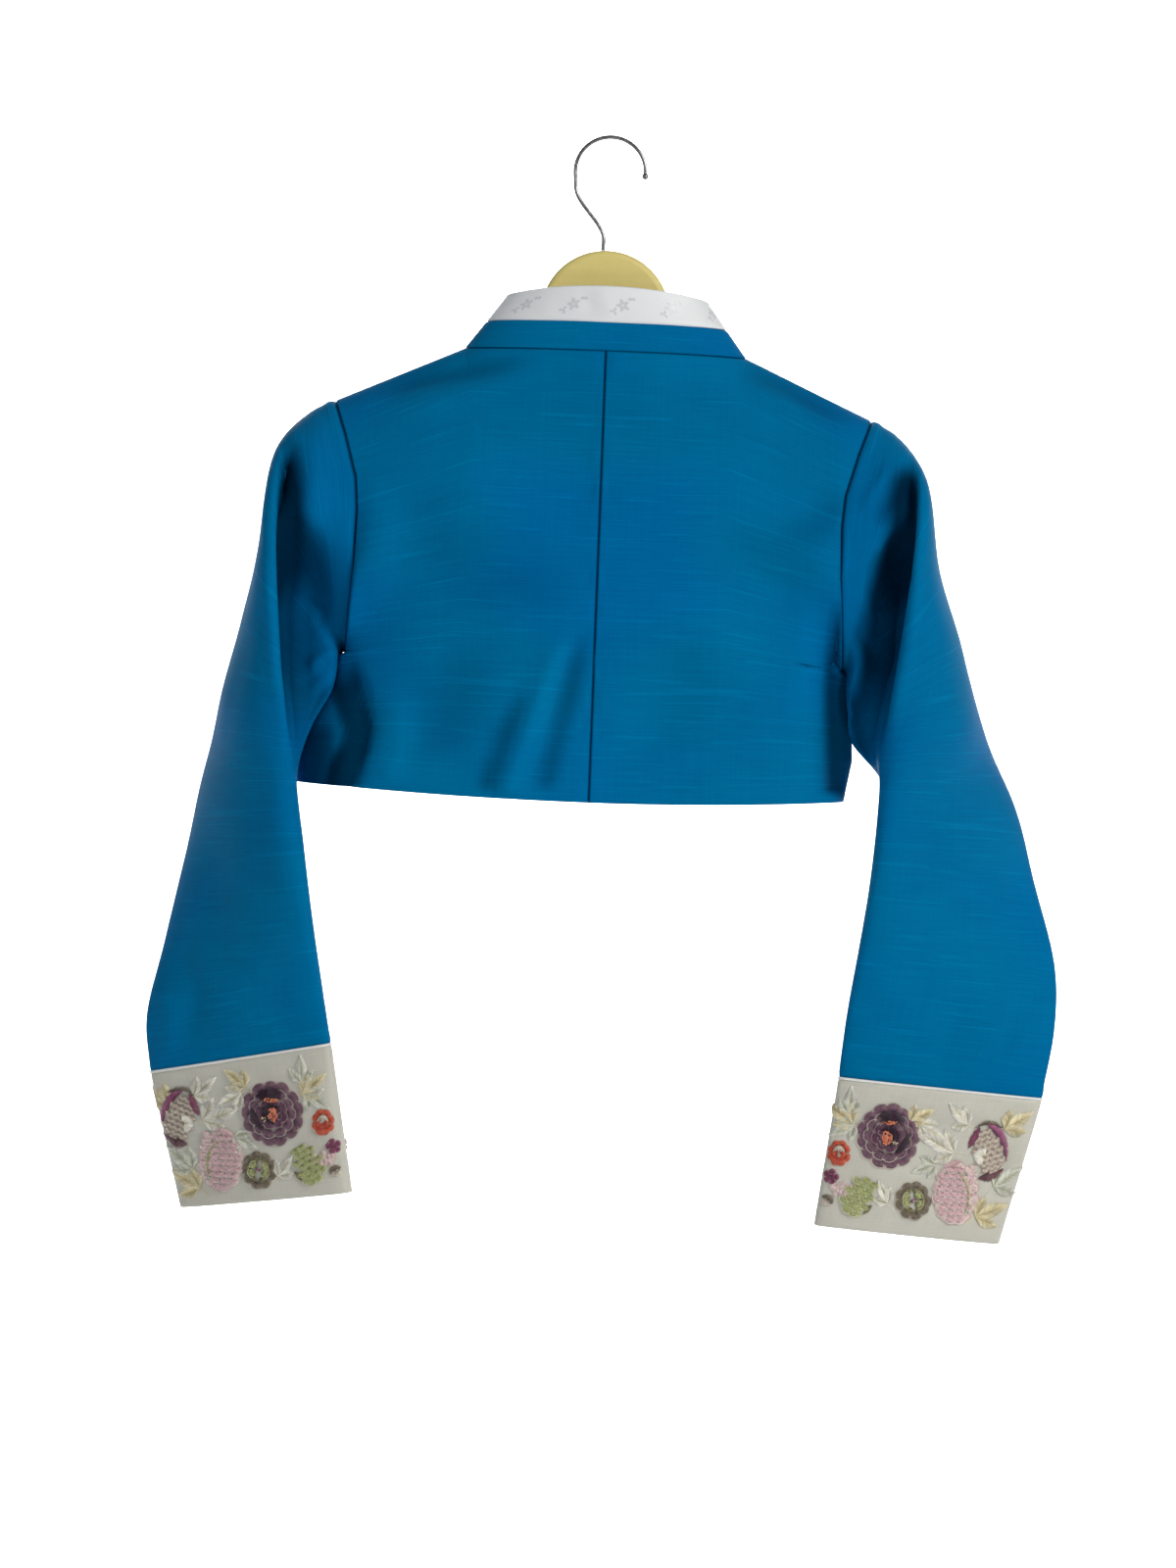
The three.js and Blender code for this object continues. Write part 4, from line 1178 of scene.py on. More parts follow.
def section_points(side, row, angles):
    """Gives one closed section of a sleeve, with the valley and the leaning fold of its back."""
    section = dict(zip(COLUMNS, row))
    tilt = math.radians(section["tilt"])
    turn = math.radians(section["turn"])
    outward = np.array([signed(side) * math.cos(tilt), 0, math.sin(tilt)])
    away = np.array([0.0, 1.0, 0.0])
    short = outward * math.sin(turn) - away * math.cos(turn)
    long = -outward * math.cos(turn) - away * math.sin(turn)
    spread = np.where(angles < VALLEY_AT, VALLEY_STEEP, VALLEY_EASY)
    dent = section["dent"] * np.exp(-((angles - VALLEY_AT) / spread) ** 2) / section["wide"]
    lean = section["lean"] * np.maximum(0, np.sin(angles)) ** 2
    cosine = np.cos(angles)
    half = np.where(cosine > 0, section["thick"], section["inner"])
    tuck = section["tuck"] * np.exp(-((angles - TUCK_AT) / TUCK_SPREAD) ** 2)
    across = half * np.sign(cosine) * np.abs(cosine) ** section["blunt"] + lean - tuck
    along = section["wide"] * (np.sin(angles) - dent)
    middle = np.array([CENTRE_X + signed(side) * section["out"], section["y"], section["z"]])
    return middle + across[:, None] * short + along[:, None] * long


def spline_rings(rings, per_span):
    """A centripetal spline through each ring's points of the same number."""
    rings = np.array(rings)
    padded = np.concatenate([2 * rings[:1] - rings[1:2], rings, 2 * rings[-1:] - rings[-2:-1]])
    fine = []
    for span in range(len(rings) - 1):
        p0, p1, p2, p3 = padded[span:span + 4]
        gaps = [np.maximum(np.linalg.norm(b - a, axis=-1, keepdims=True), 1e-4) ** 0.5
                for a, b in ((p0, p1), (p1, p2), (p2, p3))]
        t1 = (p1 - p0) / gaps[0] - (p2 - p0) / (gaps[0] + gaps[1]) + (p2 - p1) / gaps[1]
        t2 = (p2 - p1) / gaps[1] - (p3 - p1) / (gaps[1] + gaps[2]) + (p3 - p2) / gaps[2]
        t1, t2 = t1 * gaps[1], t2 * gaps[1]
        last = span == len(rings) - 2
        for t in np.linspace(0, 1, per_span + 1)[:None if last else -1]:
            c2 = -3 * p1 + 3 * p2 - 2 * t1 - t2
            c3 = 2 * p1 - 2 * p2 + t1 + t2
            fine.append(p1 + t1 * t + c2 * t * t + c3 * t * t * t)
    return np.array(fine)


def sleeve(side):
    start = armhole_points(side, RING) + np.array([signed(side) * SEAM, 0, 0])
    stations = [section_points(side, row, RING) for row in SLEEVE[side]]
    grid = spline_rings([start, *stations], RINGS_PER_SPAN)
    normals = grid_normals(grid, True, ring_middles(grid))
    normals[0] = armhole_normals(side, RING)
    down = run_lengths(grid, 0)
    fade = smooth(0, FADE_AT_ARMHOLE, down) * smooth(0, FADE_AT_CUFF, down[-1:] - down)
    seed = SEEDS[side]["sleeve"]
    height = fold_height(grid, normals, SLEEVE_STROKES[side], seed, SLEEVE_WAVE_HEIGHT) * fade
    cap = np.exp(-((down - CAP_ROLL["down"]) / CAP_ROLL["wide"]) ** 2)
    height += CAP_ROLL["height"] * cap * np.maximum(0, np.cos(RING))[None]
    near = 1 - smooth(0, SEAM_ROLL, down)
    near_end = 1 - smooth(0, SEAM_ROLL, down[-1:] - down)
    at_armhole = near * near * (1 - near_underarm(grid[..., 2]))
    height -= SEAM_DEPTH * (at_armhole + CUFF_TUCK * near_end * near_end)
    # Painted shade in the sleeve's folds and valley, and along its armhole seam.
    shade = painted_fold_shade(grid, normals, SLEEVE_STROKES[side], SEAM_DEPTH * near * near)
    grid = grid + normals * height[..., None]
    return Cloth(grid, normals, CLOTH, True, shade)


def cuff_length(side):
    top = dict(zip(COLUMNS, SLEEVE[side][-1]))
    end = dict(zip(COLUMNS, CUFF_END[side]))
    return math.hypot(top["out"] - end["out"], top["z"] - end["z"])


def cuff_rings(side, shares):
    top = section_points(side, SLEEVE[side][-1], RING)
    end = section_points(side, CUFF_END[side], RING)
    return np.array([mix(top, end, share) for share in shares])


def cuff_surface(side):
    first = (PIPING_HEIGHT + 2 * PIPING_GAP - CUFF_OVERLAP) / cuff_length(side)
    grid = cuff_rings(side, mix(first, 1, np.linspace(0, 1, CUFF_RINGS)))
    normals = grid_normals(grid, True, ring_middles(grid))
    down = run_lengths(grid, 0)
    height = fold_height(grid, normals, CUFF_STROKES[side], SEEDS[side]["cuff"], CUFF_WAVE_HEIGHT)
    near = 1 - smooth(0, SEAM_ROLL, down)
    height = height * smooth(0, FADE_AT_PIPING, down) - CUFF_TUCK * near * near
    return grid + normals * height[..., None], normals


def cuff(side):
    grid, normals = cuff_surface(side)
    return Cloth(grid, normals, STIFF_CLOTH, True)


# Threads, wires and piping are swept along their paths by one tree of nodes

def sweep_tree():
    tree = bpy.data.node_groups.new("sweep_paths", "GeometryNodeTree")
    inputs = {"Geometry": "Geometry", "Sides": "Int", "Thickness": "Float", "Finish": "Material"}
    for name, kind in inputs.items():
        tree.interface.new_socket(name, in_out="INPUT", socket_type="NodeSocket" + kind)
    tree.interface.new_socket("Geometry", in_out="OUTPUT", socket_type="NodeSocketGeometry")
    start = tree.nodes.new("NodeGroupInput")
    curve = tree.nodes.new("GeometryNodeMeshToCurve")
    width = tree.nodes.new("GeometryNodeInputNamedAttribute")
    width.data_type = "FLOAT"
    width.inputs["Name"].default_value = "width"
    scaled = tree.nodes.new("ShaderNodeMath")
    scaled.operation = "MULTIPLY"
    radius = tree.nodes.new("GeometryNodeSetCurveRadius")
    circle = tree.nodes.new("GeometryNodeCurvePrimitiveCircle")
    circle.inputs["Radius"].default_value = 1.0
    sweep = tree.nodes.new("GeometryNodeCurveToMesh")
    sweep.inputs["Fill Caps"].default_value = True
    realize = tree.nodes.new("GeometryNodeRealizeInstances")
    paint = tree.nodes.new("GeometryNodeSetMaterial")
    end = tree.nodes.new("NodeGroupOutput")
    joins = [
        (start, "Geometry", curve, "Mesh"),
        (width, "Attribute", scaled, 0),
        (start, "Thickness", scaled, 1),
        (curve, "Curve", radius, "Curve"),
        (scaled, 0, radius, "Radius"),
        (start, "Sides", circle, "Resolution"),
        (radius, "Curve", sweep, "Curve"),
        (circle, "Curve", sweep, "Profile Curve"),
        (sweep, "Mesh", realize, "Geometry"),
        (realize, "Geometry", paint, "Geometry"),
        (start, "Finish", paint, "Material"),
        (paint, "Geometry", end, "Geometry"),
    ]
    if "Scale" in sweep.inputs:
        joins.append((scaled, 0, sweep, "Scale"))
    for source, output, target, socket in joins:
        tree.links.new(source.outputs[output], target.inputs[socket])
    return tree


def path_mesh(name, paths, widths, colours, closed):
    """A mesh of edges alone, with the half width and, for thread, the colour at each point."""
    edges = []
    start = 0
    for path in paths:
        count = len(path)
        edges += [(start + k, start + k + 1) for k in range(count - 1)]
        if closed:
            edges.append((start + count - 1, start))
        start += count
    mesh = bpy.data.meshes.new(name)
    mesh.from_pydata((np.concatenate(paths) * MM).tolist(), edges, [])
    mesh.attributes.new("width", "FLOAT", "POINT").data.foreach_set("value", np.concatenate(widths) * MM)
    if colours is not None:
        layer = mesh.attributes.new("thread", "FLOAT_COLOR", "POINT")
        layer.data.foreach_set("color", np.concatenate(colours).ravel())
    return mesh


def flattened(source):
    """Turns an object with its modifiers into a plain mesh and removes it."""
    mesh = bpy.data.meshes.new_from_object(source.evaluated_get(bpy.context.evaluated_depsgraph_get()))
    bpy.data.objects.remove(source)
    return mesh


def swept(name, tree, paths, widths, sides, material, colours=None, closed=False, thickness=1.0):
    """Sweeps a round section along each path; widths are half widths in millimetres at each point."""
    source = put_in_scene(name + "_paths", path_mesh(name, paths, widths, colours, closed))
    modifier = source.modifiers.new("sweep", "NODES")
    modifier.node_group = tree
    inputs = {item.name: item.identifier for item in tree.interface.items_tree if item.in_out == "INPUT"}
    modifier[inputs["Sides"]] = sides
    modifier[inputs["Thickness"]] = thickness
    modifier[inputs["Finish"]] = material
    result = flattened(source)
    face_outwards(result)
    result.shade_smooth()
    return put_in_scene(name, result)


def spline_points(controls, per_span):
    return spline_rings([np.array([point], dtype=float) for point in controls], per_span)[:, 0]


# The hook and the piping: the angle from one point of the hook's path to the next, then points, sides and
# half widths in millimetres

HOOK_TURN = 20
HOOK_FINENESS = 10
BALL_POINTS = 14
HOOK_TIP = 0.3
HOOK_SIDES = 16
PIPING_SIDES = 8
PIPING_HALF = 0.95
PIPING_SUNK = 0.35


def hook_path():
    middle_z = HOOK["wire"] - HOOK["radius"]
    controls = []
    for angle in range(HOOK["tip_angle"], HOOK["last_angle"] + 1, HOOK_TURN):
        turn = math.radians(angle)
        controls.append((HOOK["radius"] * math.cos(turn), 0, middle_z + HOOK["radius"] * math.sin(turn)))
    controls += [(x, 0, z) for x, z in HOOK["neck"]]
    controls.append((HOOK["foot_x"], 0, HANGER["top_z"] + 0.1))
    return spline_points(controls, HOOK_FINENESS)


def hook(tree, material):
    """The bent wire with the small ball at its tip, where the path needs more points."""
    path = hook_path()
    run = run_lengths(path[:, None, :], 0)[:, 0]
    ball = HOOK["ball"]
    fine = np.linspace(0, 4 * ball, BALL_POINTS)
    dense = np.stack([np.interp(fine, run, path[:, k]) for k in range(3)], axis=-1)
    rest = path[run > 4 * ball + 0.5]
    whole = np.concatenate([dense, rest])
    run = run_lengths(whole[:, None, :], 0)[:, 0]
    half = np.clip(1 - ((run - ball) / ball) ** 2, 0, 1)
    width = np.maximum(ball * np.sqrt(half), np.where(run > ball, HOOK["wire"], HOOK_TIP))
    return swept("hook", tree, [whole], [width], HOOK_SIDES, material)


def piping(side, tree, material):
    middle = (PIPING_GAP + PIPING_HEIGHT / 2) / cuff_length(side)
    rings = cuff_rings(side, [0, middle, 2 * middle])
    normals = grid_normals(rings, True, ring_middles(rings))
    path = rings[1] - normals[1] * PIPING_SUNK
    width = np.full(len(path), PIPING_HALF)
    return swept("piping_" + side, tree, [path], [width], PIPING_SIDES, material, closed=True)


CROWN_STEPS = 48
HANGER_MIDDLE_Z = HANGER["top_z"] - HANGER["radius"]
SHOULDER_SLOPE = (NECK_Z - SHOULDER_Z) / (HALF_SHOULDER - NECK_OUT)


def arm_top(side, out):
    """Height of the hanger's arm, just under the cloth of the shoulder."""
    line = NECK_Z - SHOULDER_SLOPE * (out - signed(side) * CENTRE_X - NECK_OUT)
    return line - HANGER["under_cloth"] / SHOULDER_UP - HANGER["rest"]


def hanger_arm(side):
    start = HANGER["radius"] + HANGER["neck_gap"]
    end = HANGER["arm_end"]
    tip = arm_top(side, end)
    rows = [
        (start, arm_top(side, start)),
        (end, tip),
        (end + HANGER["tip_out"], tip - HANGER["tip_drop"]),
        (end - HANGER["end_back"], tip - HANGER["end_drop"]),
        (HANGER["under_out"], arm_top(side, HANGER["under_out"]) - HANGER["arm_height"]),
        (HANGER["foot_out"], HANGER_MIDDLE_Z - HANGER["foot_drop"]),
    ]
    return [(signed(side) * out, z) for out, z in rows]


def hanger_outline():
    radius = HANGER["radius"]
    turns = np.linspace(0, math.pi, CROWN_STEPS + 1)
    crown = [(radius * math.cos(turn), HANGER_MIDDLE_Z + radius * math.sin(turn)) for turn in turns]
    return hanger_arm("right")[::-1] + crown + hanger_arm("left")


def hanger(material):
    outline = hanger_outline()
    shape = bpy.data.curves.new("hanger_outline", "CURVE")
    shape.dimensions = "2D"
    shape.fill_mode = "BOTH"
    shape.extrude = (HANGER["thick"] / 2 - HANGER["bevel"]) * MM
    shape.bevel_depth = HANGER["bevel"] * MM
    shape.bevel_resolution = 5
    shape.offset = -HANGER["bevel"] * MM
    line = shape.splines.new("POLY")
    line.points.add(len(outline) - 1)
    for point, (x, z) in zip(line.points, outline):
        point.co = (x * MM, z * MM, 0, 1)
    line.use_cyclic_u = True
    mesh = flattened(put_in_scene("hanger_outline", shape))
    mesh.transform(Matrix.Rotation(math.pi / 2, 4, "X"))
    face_outwards(mesh)
    mesh.materials.append(material)
    return put_in_scene("hanger", mesh)


# Embroidery: ordinary flowers and leaves in satin stitch, each drawn about its own middle in millimetres

def thread(red, green, blue):
    """Gives a thread's linear colour from screen values of 0 to 255."""
    return np.array([(value / 255) ** 2.2 for value in (red, green, blue)] + [1.0])


PURPLE = {"root": thread(66, 38, 58), "rim": thread(146, 108, 124), "line": thread(204, 188, 180)}
DEEP_PURPLE = {"root": thread(50, 22, 46), "rim": thread(116, 74, 98), "line": thread(168, 134, 140)}
AUBERGINE = {"root": thread(28, 4, 26), "rim": thread(58, 14, 48)}
ORANGE = {"root": thread(214, 104, 66), "rim": thread(244, 158, 118)}
PINK = {"root": thread(204, 158, 162), "rim": thread(240, 212, 210), "line": thread(252, 236, 234)}
PALE_PINK = {"root": thread(222, 184, 182), "rim": thread(250, 234, 226), "line": thread(236, 212, 206)}
LIME = {"root": thread(124, 134, 70), "rim": thread(208, 212, 152), "line": thread(222, 226, 176)}
OLIVE = {"root": thread(84, 78, 50), "rim": thread(150, 142, 96), "line": thread(120, 108, 92)}
TAUPE = {"root": thread(86, 72, 64), "rim": thread(150, 138, 116), "line": thread(176, 166, 146)}
MAGENTA = {"root": thread(120, 52, 88), "rim": thread(184, 110, 148)}
PLUM = {"root": thread(104, 40, 74), "rim": thread(160, 88, 118)}
MAROON = {"root": thread(72, 26, 48), "rim": thread(136, 98, 100)}
STONE = {"root": thread(170, 150, 134), "rim": thread(236, 228, 208), "line": thread(190, 166, 158)}
CREAM = {"root": thread(240, 234, 206), "rim": thread(255, 254, 246)}
ECRU = {"root": thread(224, 208, 154), "rim": thread(252, 244, 210)}
SAGE = {"root": thread(206, 208, 180), "rim": thread(250, 251, 240)}
RUST = {"root": thread(176, 52, 30), "rim": thread(226, 108, 74)}

# Threads: half widths, steps from one stitch to the next, sides of a thread and the rise of a leaf

STITCH = 0.45
LINE_STITCH = 0.3
STITCH_STEP = 0.8
LEAF_STEP = 0.85
STITCH_SIDES = 3
LEAF_LIFT = 0.45


def direction(angle):
    return np.array([math.cos(angle), math.sin(angle)])


class Stitches:
    """Collects stitches as paths with a height above the cloth; the pen moves each flower to its place."""

    def __init__(self, seed):
        self.dice = random.Random(seed)
        self.places = []
        self.heights = []
        self.widths = []
        self.colours = []
        self.middle = np.zeros(2)
        self.mirror = 1.0

    def move(self, middle, mirror):
        self.middle = np.array(middle)
        self.mirror = mirror

    def add(self, places, heights, widths, colours):
        self.places.append(np.array(places, dtype=float) * np.array([self.mirror, 1.0]) + self.middle)
        self.heights.append(np.array(heights, dtype=float))
        self.widths.append(np.array(widths, dtype=float))
        self.colours.append(np.array(colours))

    def satin(self, start, end, lift, base, colours):
        """One stitch from start to end, rising from the cloth and back."""
        shares = np.array([0, 0.28, 0.72, 1])
        places = start + (end - start) * shares[:, None]
        heights = base + lift * np.array([0.1, 0.9, 1.0, 0.0]) - np.array([0.2, 0, 0, 0.3])
        shade = self.dice.uniform(0.82, 1.14)
        tints = [mix(colours["root"], colours["rim"], share) * shade for share in shares]
        self.add(places, heights, STITCH * np.array([0.8, 1, 1, 0.7]), tints)

    def line(self, places, base, colour):
        """A couched outline thread."""
        shade = self.dice.uniform(0.88, 1.1)
        count = len(places)
        self.add(places, np.full(count, base), np.full(count, LINE_STITCH), [colour * shade] * count)

    def fan(self, root, facing, spread, far, lift, base, colours, near=0.12):
        """A round petal of stitches that open from its root, with an outline where it has one."""
        count = max(3, round(spread * far / STITCH_STEP))
        reach = far * self.dice.uniform(0.93, 1.07)
        for k in range(count):
            share = (k + 0.5) / count * 2 - 1
            ray = direction(facing + share * spread / 2)
            length = reach * (1 - 0.14 * share * share) * self.dice.uniform(0.96, 1.03)
            self.satin(root + ray * near * far, root + ray * length, lift, base, colours)
        if "line" in colours:
            shares = np.linspace(-1, 1, 7)
            rim = [root + direction(facing + t * spread / 2) * reach * (1.06 - 0.14 * t * t) for t in shares]
            self.line(rim, base + lift * 0.8, colours["line"])

    def ring(self, half, share, petals, far, lift, base, colours, start=0.0, arc=2 * math.pi):
        """Petals that stand around an oval and face away from its middle."""
        for k in range(petals):
            angle = start + arc * (k + 0.5) / petals + self.dice.uniform(-0.06, 0.06)
            root = np.array(half) * share * direction(angle)
            self.fan(root, angle, 2.3, far, lift, base, colours)

    def crescent(self, middle, half, inner, start, end, lift, base, colours):
        """Stitches across the gap between two ovals, tapering to both ends of an arc."""
        count = max(4, round((end - start) * sum(half) / 2 / STITCH_STEP))
        for k in range(count):
            share = (k + 0.5) / count
            ray = np.array(half) * direction(mix(start, end, share))
            depth = mix(1, inner, math.sin(math.pi * share) ** 0.6)
            jitter = self.dice.uniform(0.97, 1.03)
            self.satin(np.array(middle) + ray * depth, np.array(middle) + ray * jitter, lift, base, colours)

    def scales(self, middle, half, size, facing, lift, base, colours):
        """Rows of small round petals that overlap like tiles inside an oval."""
        rows = max(2, round(2 * half[1] / (size * 0.72)))
        ahead = direction(facing)
        aside = np.array([-ahead[1], ahead[0]])
        for row in range(rows):
            high = 1 - 2 * (row + 0.5) / rows
            width = half[0] * math.sqrt(max(0.0, 1 - high * high))
            count = max(1, round(2 * width / (size * 1.02)))
            shift = 0.25 if row % 2 else -0.25
            for k in range(count):
                over = (2 * (k + 0.5 + shift) / count - 1) * width * 0.94
                root = np.array(middle) - ahead * high * half[1] + aside * over
                turn = facing + self.dice.uniform(-0.3, 0.3)
                self.fan(root - ahead * size * 0.4, turn, 2.3, size * 0.86, lift, base, colours, 0.2)

    def knots(self, middle, half, count, size, base, colours):
        """Small round knots scattered inside an oval."""
        for _ in range(count):
            angle = self.dice.uniform(0, 2 * math.pi)
            reach = math.sqrt(self.dice.random())
            place = np.array(middle) + np.array(half) * reach * direction(angle)
            step = direction(self.dice.uniform(0, math.pi)) * size
            tint = mix(colours["root"], colours["rim"], self.dice.random())
            places = [place - step, place - step * 0.4, place + step * 0.4, place + step]
            heights = base + np.array([-0.1, 0.3, 0.3, -0.1])
            self.add(places, heights, size * np.array([0.5, 0.9, 0.9, 0.5]), [tint] * 4)

    def leaf(self, root, facing, length, wide, base, colours):
        """A leaf of slanted stitches that meet at its rib, one half lighter than the other."""
        ahead = direction(facing)
        aside = np.array([-ahead[1], ahead[0]])
        count = max(4, round(length / LEAF_STEP))
        for side, shade in ((-1, 1.0), (1, 0.86)):
            tints = {key: colour * shade for key, colour in colours.items()}
            for k in range(count):
                share = (k + 0.3) / count
                half = wide * math.sin(math.pi * min(1, share ** 0.8 + 0.04)) + 0.25
                rib = root + ahead * length * share
                edge = rib + ahead * length * 0.2 + aside * side * half
                self.satin(rib, edge, LEAF_LIFT, base, tints)

    def sprig(self, facing, size, colours):
        """Three leaves from one stem."""
        root = direction(facing) * -size * 0.5
        for turn, share in ((-0.75, 0.62), (0.7, 0.68), (0.0, 1.0)):
            spread = turn + self.dice.uniform(-0.12, 0.12)
            self.leaf(root, facing + spread, size * share * 1.2, size * 0.27, 0.4, colours)
        bend = [root - direction(facing - 0.3) * size * 0.45 * share for share in (0.0, 0.35, 0.7, 1.0)]
        self.line(bend, 0.15, colours["root"])


def peony(pen):
    pen.ring(half=(8, 8), share=0.05, petals=6, far=9.0, lift=0.4, base=0.5, colours=AUBERGINE)
    pen.ring(half=(21, 22), share=0.7, petals=13, far=7.4, lift=0.9, base=0.2, colours=PURPLE)
    pen.ring(half=(17, 18), share=0.6, petals=11, far=6.2, lift=0.9, base=0.7, colours=PURPLE, start=0.3)
    pen.crescent(middle=(-1, 2), half=(13, 16), inner=0.2, start=0.9, end=2.5, lift=0.5, base=2.0,
                 colours=AUBERGINE)
    pen.crescent(middle=(-1, 0), half=(14, 13), inner=0.6, start=2.9, end=4.4, lift=0.5, base=2.0,
                 colours=AUBERGINE)
    pen.ring(half=(11, 10), share=0.55, petals=8, far=5.2, lift=0.8, base=1.3, colours=DEEP_PURPLE,
             start=0.2)
    pen.scales(middle=(3, -1), half=(5, 4), size=3.4, facing=-0.6, lift=0.6, base=1.7,
               colours=DEEP_PURPLE)
    pen.knots(middle=(1, -1), half=(3.6, 5.0), count=48, size=0.75, base=2.4, colours=ORANGE)
    pen.knots(middle=(-1, 9.4), half=(5.4, 1.2), count=22, size=0.7, base=2.4, colours=ORANGE)
    pen.knots(middle=(-5, -4), half=(1.6, 1.8), count=7, size=0.5, base=2.0, colours=ECRU)


def pink_peony(pen):
    pen.ring(half=(15, 22), share=0.78, petals=16, far=4.6, lift=0.6, base=0.2, colours=PALE_PINK)
    pen.scales(middle=(2, -1), half=(13, 19), size=5.6, facing=-math.pi / 2, lift=1.1, base=0.6,
               colours=PINK)
    pen.scales(middle=(-10, 6), half=(4, 14), size=3.4, facing=-math.pi / 2, lift=0.7, base=0.7,
               colours=PALE_PINK)
    pen.crescent(middle=(4, -2), half=(14, 17), inner=0.82, start=2.0, end=3.9, lift=0.6, base=1.2,
                 colours=LIME)
    pen.crescent(middle=(0, 15), half=(10, 8), inner=0.45, start=0.3, end=1.9, lift=0.7, base=0.9,
                 colours=PINK)


def oval_bloom(pen):
    pen.scales(middle=(0, 0), half=(10, 16), size=4.8, facing=-1.9, lift=0.9, base=0.4, colours=STONE)
    pen.crescent(middle=(-1, 1), half=(13, 19), inner=0.62, start=1.4, end=3.5, lift=0.9, base=0.7,
                 colours=MAGENTA)
    pen.crescent(middle=(1, 3), half=(13, 16), inner=0.6, start=0.0, end=1.15, lift=0.9, base=0.7,
                 colours=PLUM)
    pen.crescent(middle=(0, -1), half=(13, 19), inner=0.66, start=3.7, end=5.2, lift=0.9, base=0.7,
                 colours=MAROON)
    pen.crescent(middle=(0, 4), half=(14, 18), inner=0.86, start=0.8, end=2.3, lift=0.5, base=1.0,
                 colours=TAUPE)
    for turn, far in ((0.3, 7.5), (1.2, 6.5), (-0.7, 7.0)):
        pen.fan(root=np.array([3.0, -3.0]), facing=turn, spread=1.3, far=far, lift=0.8, base=0.9,
                colours=CREAM)


def green_bloom(pen):
    pen.scales(middle=(9, 3), half=(5, 9), size=4.2, facing=0.3, lift=0.7, base=0.2, colours=PALE_PINK)
    pen.scales(middle=(-1, 0), half=(9.5, 14), size=5.4, facing=-1.0, lift=1.1, base=0.6, colours=LIME)
    pen.scales(middle=(1, -9), half=(6.5, 4), size=3.8, facing=-1.3, lift=0.8, base=0.7, colours=LIME)
    pen.crescent(middle=(-3, -5), half=(8, 8), inner=0.55, start=3.3, end=4.4, lift=0.6, base=0.7,
                 colours=OLIVE)


def pansy(pen):
    pen.ring(half=(12, 13), share=0.62, petals=9, far=5.2, lift=0.8, base=0.2, colours=TAUPE)
    pen.ring(half=(9, 9), share=0.55, petals=6, far=4.6, lift=0.8, base=0.7, colours=OLIVE, start=0.4)
    for turn in (-0.5, 0.5, 2.4, 3.6):
        pen.fan(root=direction(turn) * 2.0, facing=turn, spread=1.5, far=5.4, lift=0.8, base=1.1,
                colours=LIME)
    pen.knots(middle=(0, 0), half=(1.6, 1.6), count=9, size=0.6, base=1.8, colours=PLUM)


def orange_bloom(pen):
    pen.ring(half=(4, 5), share=0.05, petals=4, far=5.2, lift=0.4, base=0.2, colours=RUST)
    pen.ring(half=(7.5, 9.5), share=0.56, petals=8, far=4.0, lift=0.9, base=0.2, colours=RUST)
    pen.crescent(middle=(0, 0), half=(4, 5), inner=0.3, start=0.2, end=3.0, lift=0.6, base=0.8,
                 colours=STONE)
    pen.crescent(middle=(0, 0), half=(6.5, 8), inner=0.5, start=3.6, end=6.0, lift=0.8, base=0.9,
                 colours=RUST)
    pen.knots(middle=(0, 0), half=(2.0, 2.6), count=10, size=0.5, base=1.3, colours=STONE)


def plum_bloom(pen):
    pen.ring(half=(3, 3), share=0.05, petals=4, far=3.2, lift=0.4, base=0.2, colours=PLUM)
    pen.ring(half=(4.6, 4.6), share=0.55, petals=5, far=3.0, lift=0.9, base=0.2, colours=PLUM)
    pen.knots(middle=(0, 0), half=(0.8, 0.8), count=3, size=0.5, base=1.1, colours=MAROON)


def bud(pen):
    pen.crescent(middle=(0, 0), half=(4.5, 4.2), inner=0.05, start=0.6, end=3.8, lift=0.8, base=0.3,
                 colours=TAUPE)
    pen.crescent(middle=(0, 0), half=(4.2, 4.4), inner=0.05, start=3.8, end=6.9, lift=0.8, base=0.3,
                 colours=STONE)


FLOWERS = [
    {"draw": peony, "left": (280, 1134), "right": (905, 1158)},
    {"draw": oval_bloom, "left": (183, 1142), "right": (1007, 1175)},
    {"draw": pink_peony, "left": (226, 1184), "right": (974, 1216)},
    {"draw": pansy, "left": (266, 1192), "right": (930, 1223)},
    {"draw": green_bloom, "left": (319, 1184), "right": (873, 1218)},
    {"draw": orange_bloom, "left": (332, 1142), "right": (855, 1175)},
    {"draw": plum_bloom, "left": (343, 1166), "right": (847, 1199)},
    {"draw": bud, "left": (345, 1191), "right": (843, 1223)},
]

# Leaf sprigs: middle on each cuff, direction in degrees on the left cuff, and length

